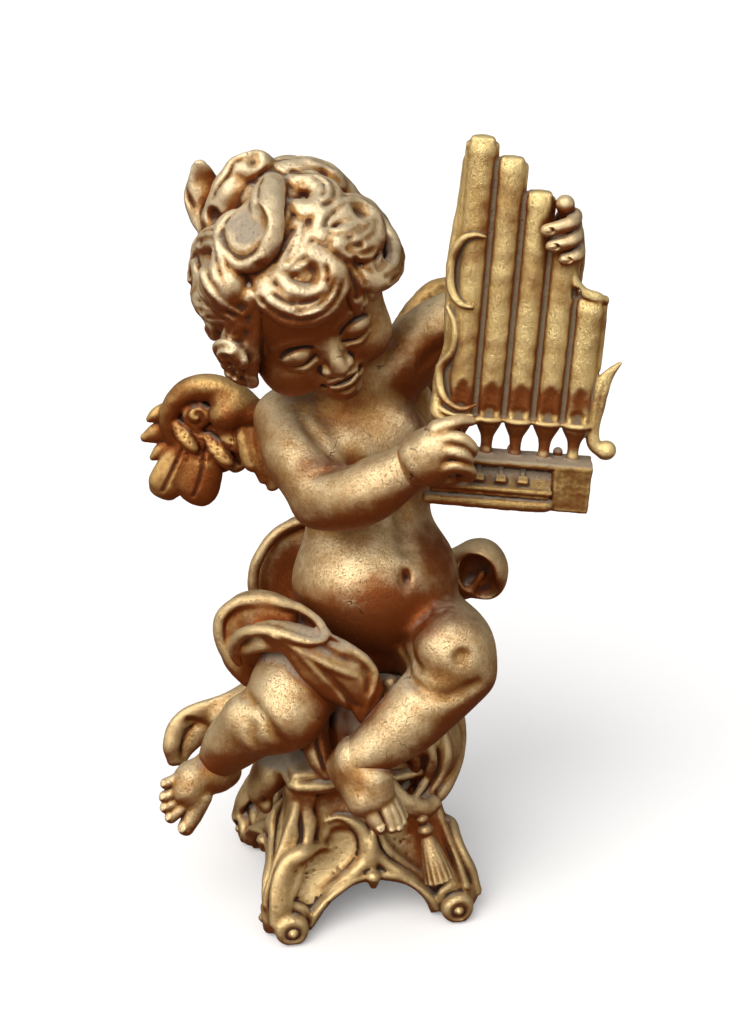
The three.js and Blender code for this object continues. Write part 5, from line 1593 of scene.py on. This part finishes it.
def sculpt_tassel():
    clay = Clay((-16, -16, -44), (16, 16, 8), 0.45)
    clay.add([Egg((0, 0, 0), (3.4, 3.4, 3.0)), Egg((0, 0, -6), (4.2, 4.2, 3.6))], 1.0)
    clay.add(stroke([(0, 0, -10, 2.6), (0, 0, -14, 4.4), (0, 0, -24, 6.4), (0, 0, -34, 7.6)]), 1.2)
    for i in range(14):
        a = 2 * math.pi * i / 14
        ca, sa = math.cos(a), math.sin(a)
        clay.add(stroke([(3.4 * ca, 3.4 * sa, -13, 0.9), (5.6 * ca, 5.6 * sa, -24, 1.1),
                         (7.4 * ca, 7.4 * sa, -36, 1.3)]), 0.6)
    clay.carve([Block((-15, -15, -46), (15, 15, -33.5), 0.4)], 0.5)
    hang = placed((37, -46.5, 62), turn_matrix(x=-13, y=-16))
    return skin("tassel_carved", clay, PEDESTAL_GILT, ["tassel"], hang)


# ---------- build ----------

sculpt_pedestal()
sculpt_tassel()
sculpt_seat()
sculpt_back_cloth()
sculpt_body()
sculpt_feet()
sculpt_lap()
sculpt_right_hand()
sculpt_windchest()
sculpt_pipes()
sculpt_left_hand()
sculpt_face()
sculpt_hair()
sculpt_right_wing()
sculpt_left_wing()
shelter_pass()

STEEL, FELT = steel(), felt()
for entry in frame["record"]["subparts"]:
    node = frame["nodes"][entry["node"]]
    finish = {"steel": STEEL, "felt": FELT}.get(entry["material_slot"])
    if finish:
        node.data.materials.clear()
        node.data.materials.append(finish)


# ---------- studio ----------

AIM = START + Vector((12, 2, 212)) * MM  # what the camera looks at
CAMERA_RANGE, CAMERA_LIFT = 780 * MM, math.radians(20)  # how far from it, how high above it
LENS = 53.8  # mm
PAPER_REACH = 60.0  # half the floor's width, in metres
PAPER_SEEN, PAPER_FELT = (0.88, 0.88, 0.88), (0.20, 0.145, 0.10)  # to the camera, to all else
PAPER_GLOW = 0.12
WHITE = (1.0, 1.0, 1.0)
KEY_FROM = Vector((-0.62, -1.15, 1.15)).normalized()  # upper front left
FILL_AT = (1.3, -0.9, 0.7)


def in_scene(name, data):
    holder = bpy.data.objects.new(name, data)
    bpy.context.scene.collection.objects.link(holder)
    return holder


def look_along(holder, direction):
    holder.rotation_euler = Vector(direction).to_track_quat("-Z", "Y").to_euler()


def place_camera():
    offset = Vector((0, -math.cos(CAMERA_LIFT), math.sin(CAMERA_LIFT))) * CAMERA_RANGE
    camera = in_scene("camera", bpy.data.cameras.new("camera"))
    camera.data.lens = LENS
    camera.data.clip_start = 0.01
    camera.location = AIM + offset
    look_along(camera, -offset)
    bpy.context.scene.camera = camera


def lay_paper():
    """A floor that looks pale to the camera, but throws back little light, as if it stood far away."""
    mesh = bpy.data.meshes.new("floor")
    corners = [(x * PAPER_REACH, y * PAPER_REACH, 0) for x, y in ((-1, -1), (1, -1), (1, 1), (-1, 1))]
    mesh.from_pydata(corners, [], [(0, 1, 2, 3)])
    paper = Nodes("studio_paper")
    seen = paper.add("ShaderNodeLightPath").outputs["Is Camera Ray"]
    shade = paper.mix(seen, PAPER_FELT, PAPER_SEEN)
    glow = paper.math("MULTIPLY", seen, PAPER_GLOW)
    finish = paper.surface(base_color=shade, roughness=0.95, emission_color=WHITE, emission_strength=glow)
    mesh.materials.append(finish)
    in_scene("floor", mesh)


def hang_sky():
    """Soft light from all round, stronger from the key's side; plain white to the camera."""
    world = bpy.data.worlds.new("studio")
    world.use_nodes = True
    sky = world.node_tree
    background = sky.nodes["Background"]
    direction = sky.nodes.new("ShaderNodeTexCoord").outputs["Generated"]
    toward_key = sky.nodes.new("ShaderNodeVectorMath")
    toward_key.operation = "DOT_PRODUCT"
    toward_key.inputs[1].default_value = KEY_FROM
    level = sky.nodes.new("ShaderNodeMapRange")
    level.inputs["From Min"].default_value = -0.5
    level.inputs["To Min"].default_value = 0.05
    level.inputs["To Max"].default_value = 0.95
    plain = sky.nodes.new("ShaderNodeMix")
    plain.inputs[3].default_value = 1.0
    path = sky.nodes.new("ShaderNodeLightPath")
    sky.links.new(direction, toward_key.inputs[0])
    sky.links.new(toward_key.outputs["Value"], level.inputs["Value"])
    sky.links.new(level.outputs[0], plain.inputs[2])
    sky.links.new(path.outputs["Is Camera Ray"], plain.inputs[0])
    sky.links.new(plain.outputs[0], background.inputs["Strength"])
    background.inputs["Color"].default_value = (*WHITE, 1)
    bpy.context.scene.world = world
    bpy.context.scene.view_settings.view_transform = "Standard"


def add_lamps():
    key = bpy.data.lights.new("key", "SUN")
    key.energy, key.angle, key.color = 2.7, math.radians(48), (1.0, 0.97, 0.93)
    look_along(in_scene("key", key), -KEY_FROM)
    fill = bpy.data.lights.new("fill", "AREA")
    fill.energy, fill.size, fill.color = 2, 0.9, (1.0, 0.95, 0.9)
    holder = in_scene("fill", fill)
    holder.location = FILL_AT
    look_along(holder, AIM - holder.location)


place_camera()
lay_paper()
hang_sky()
add_lamps()
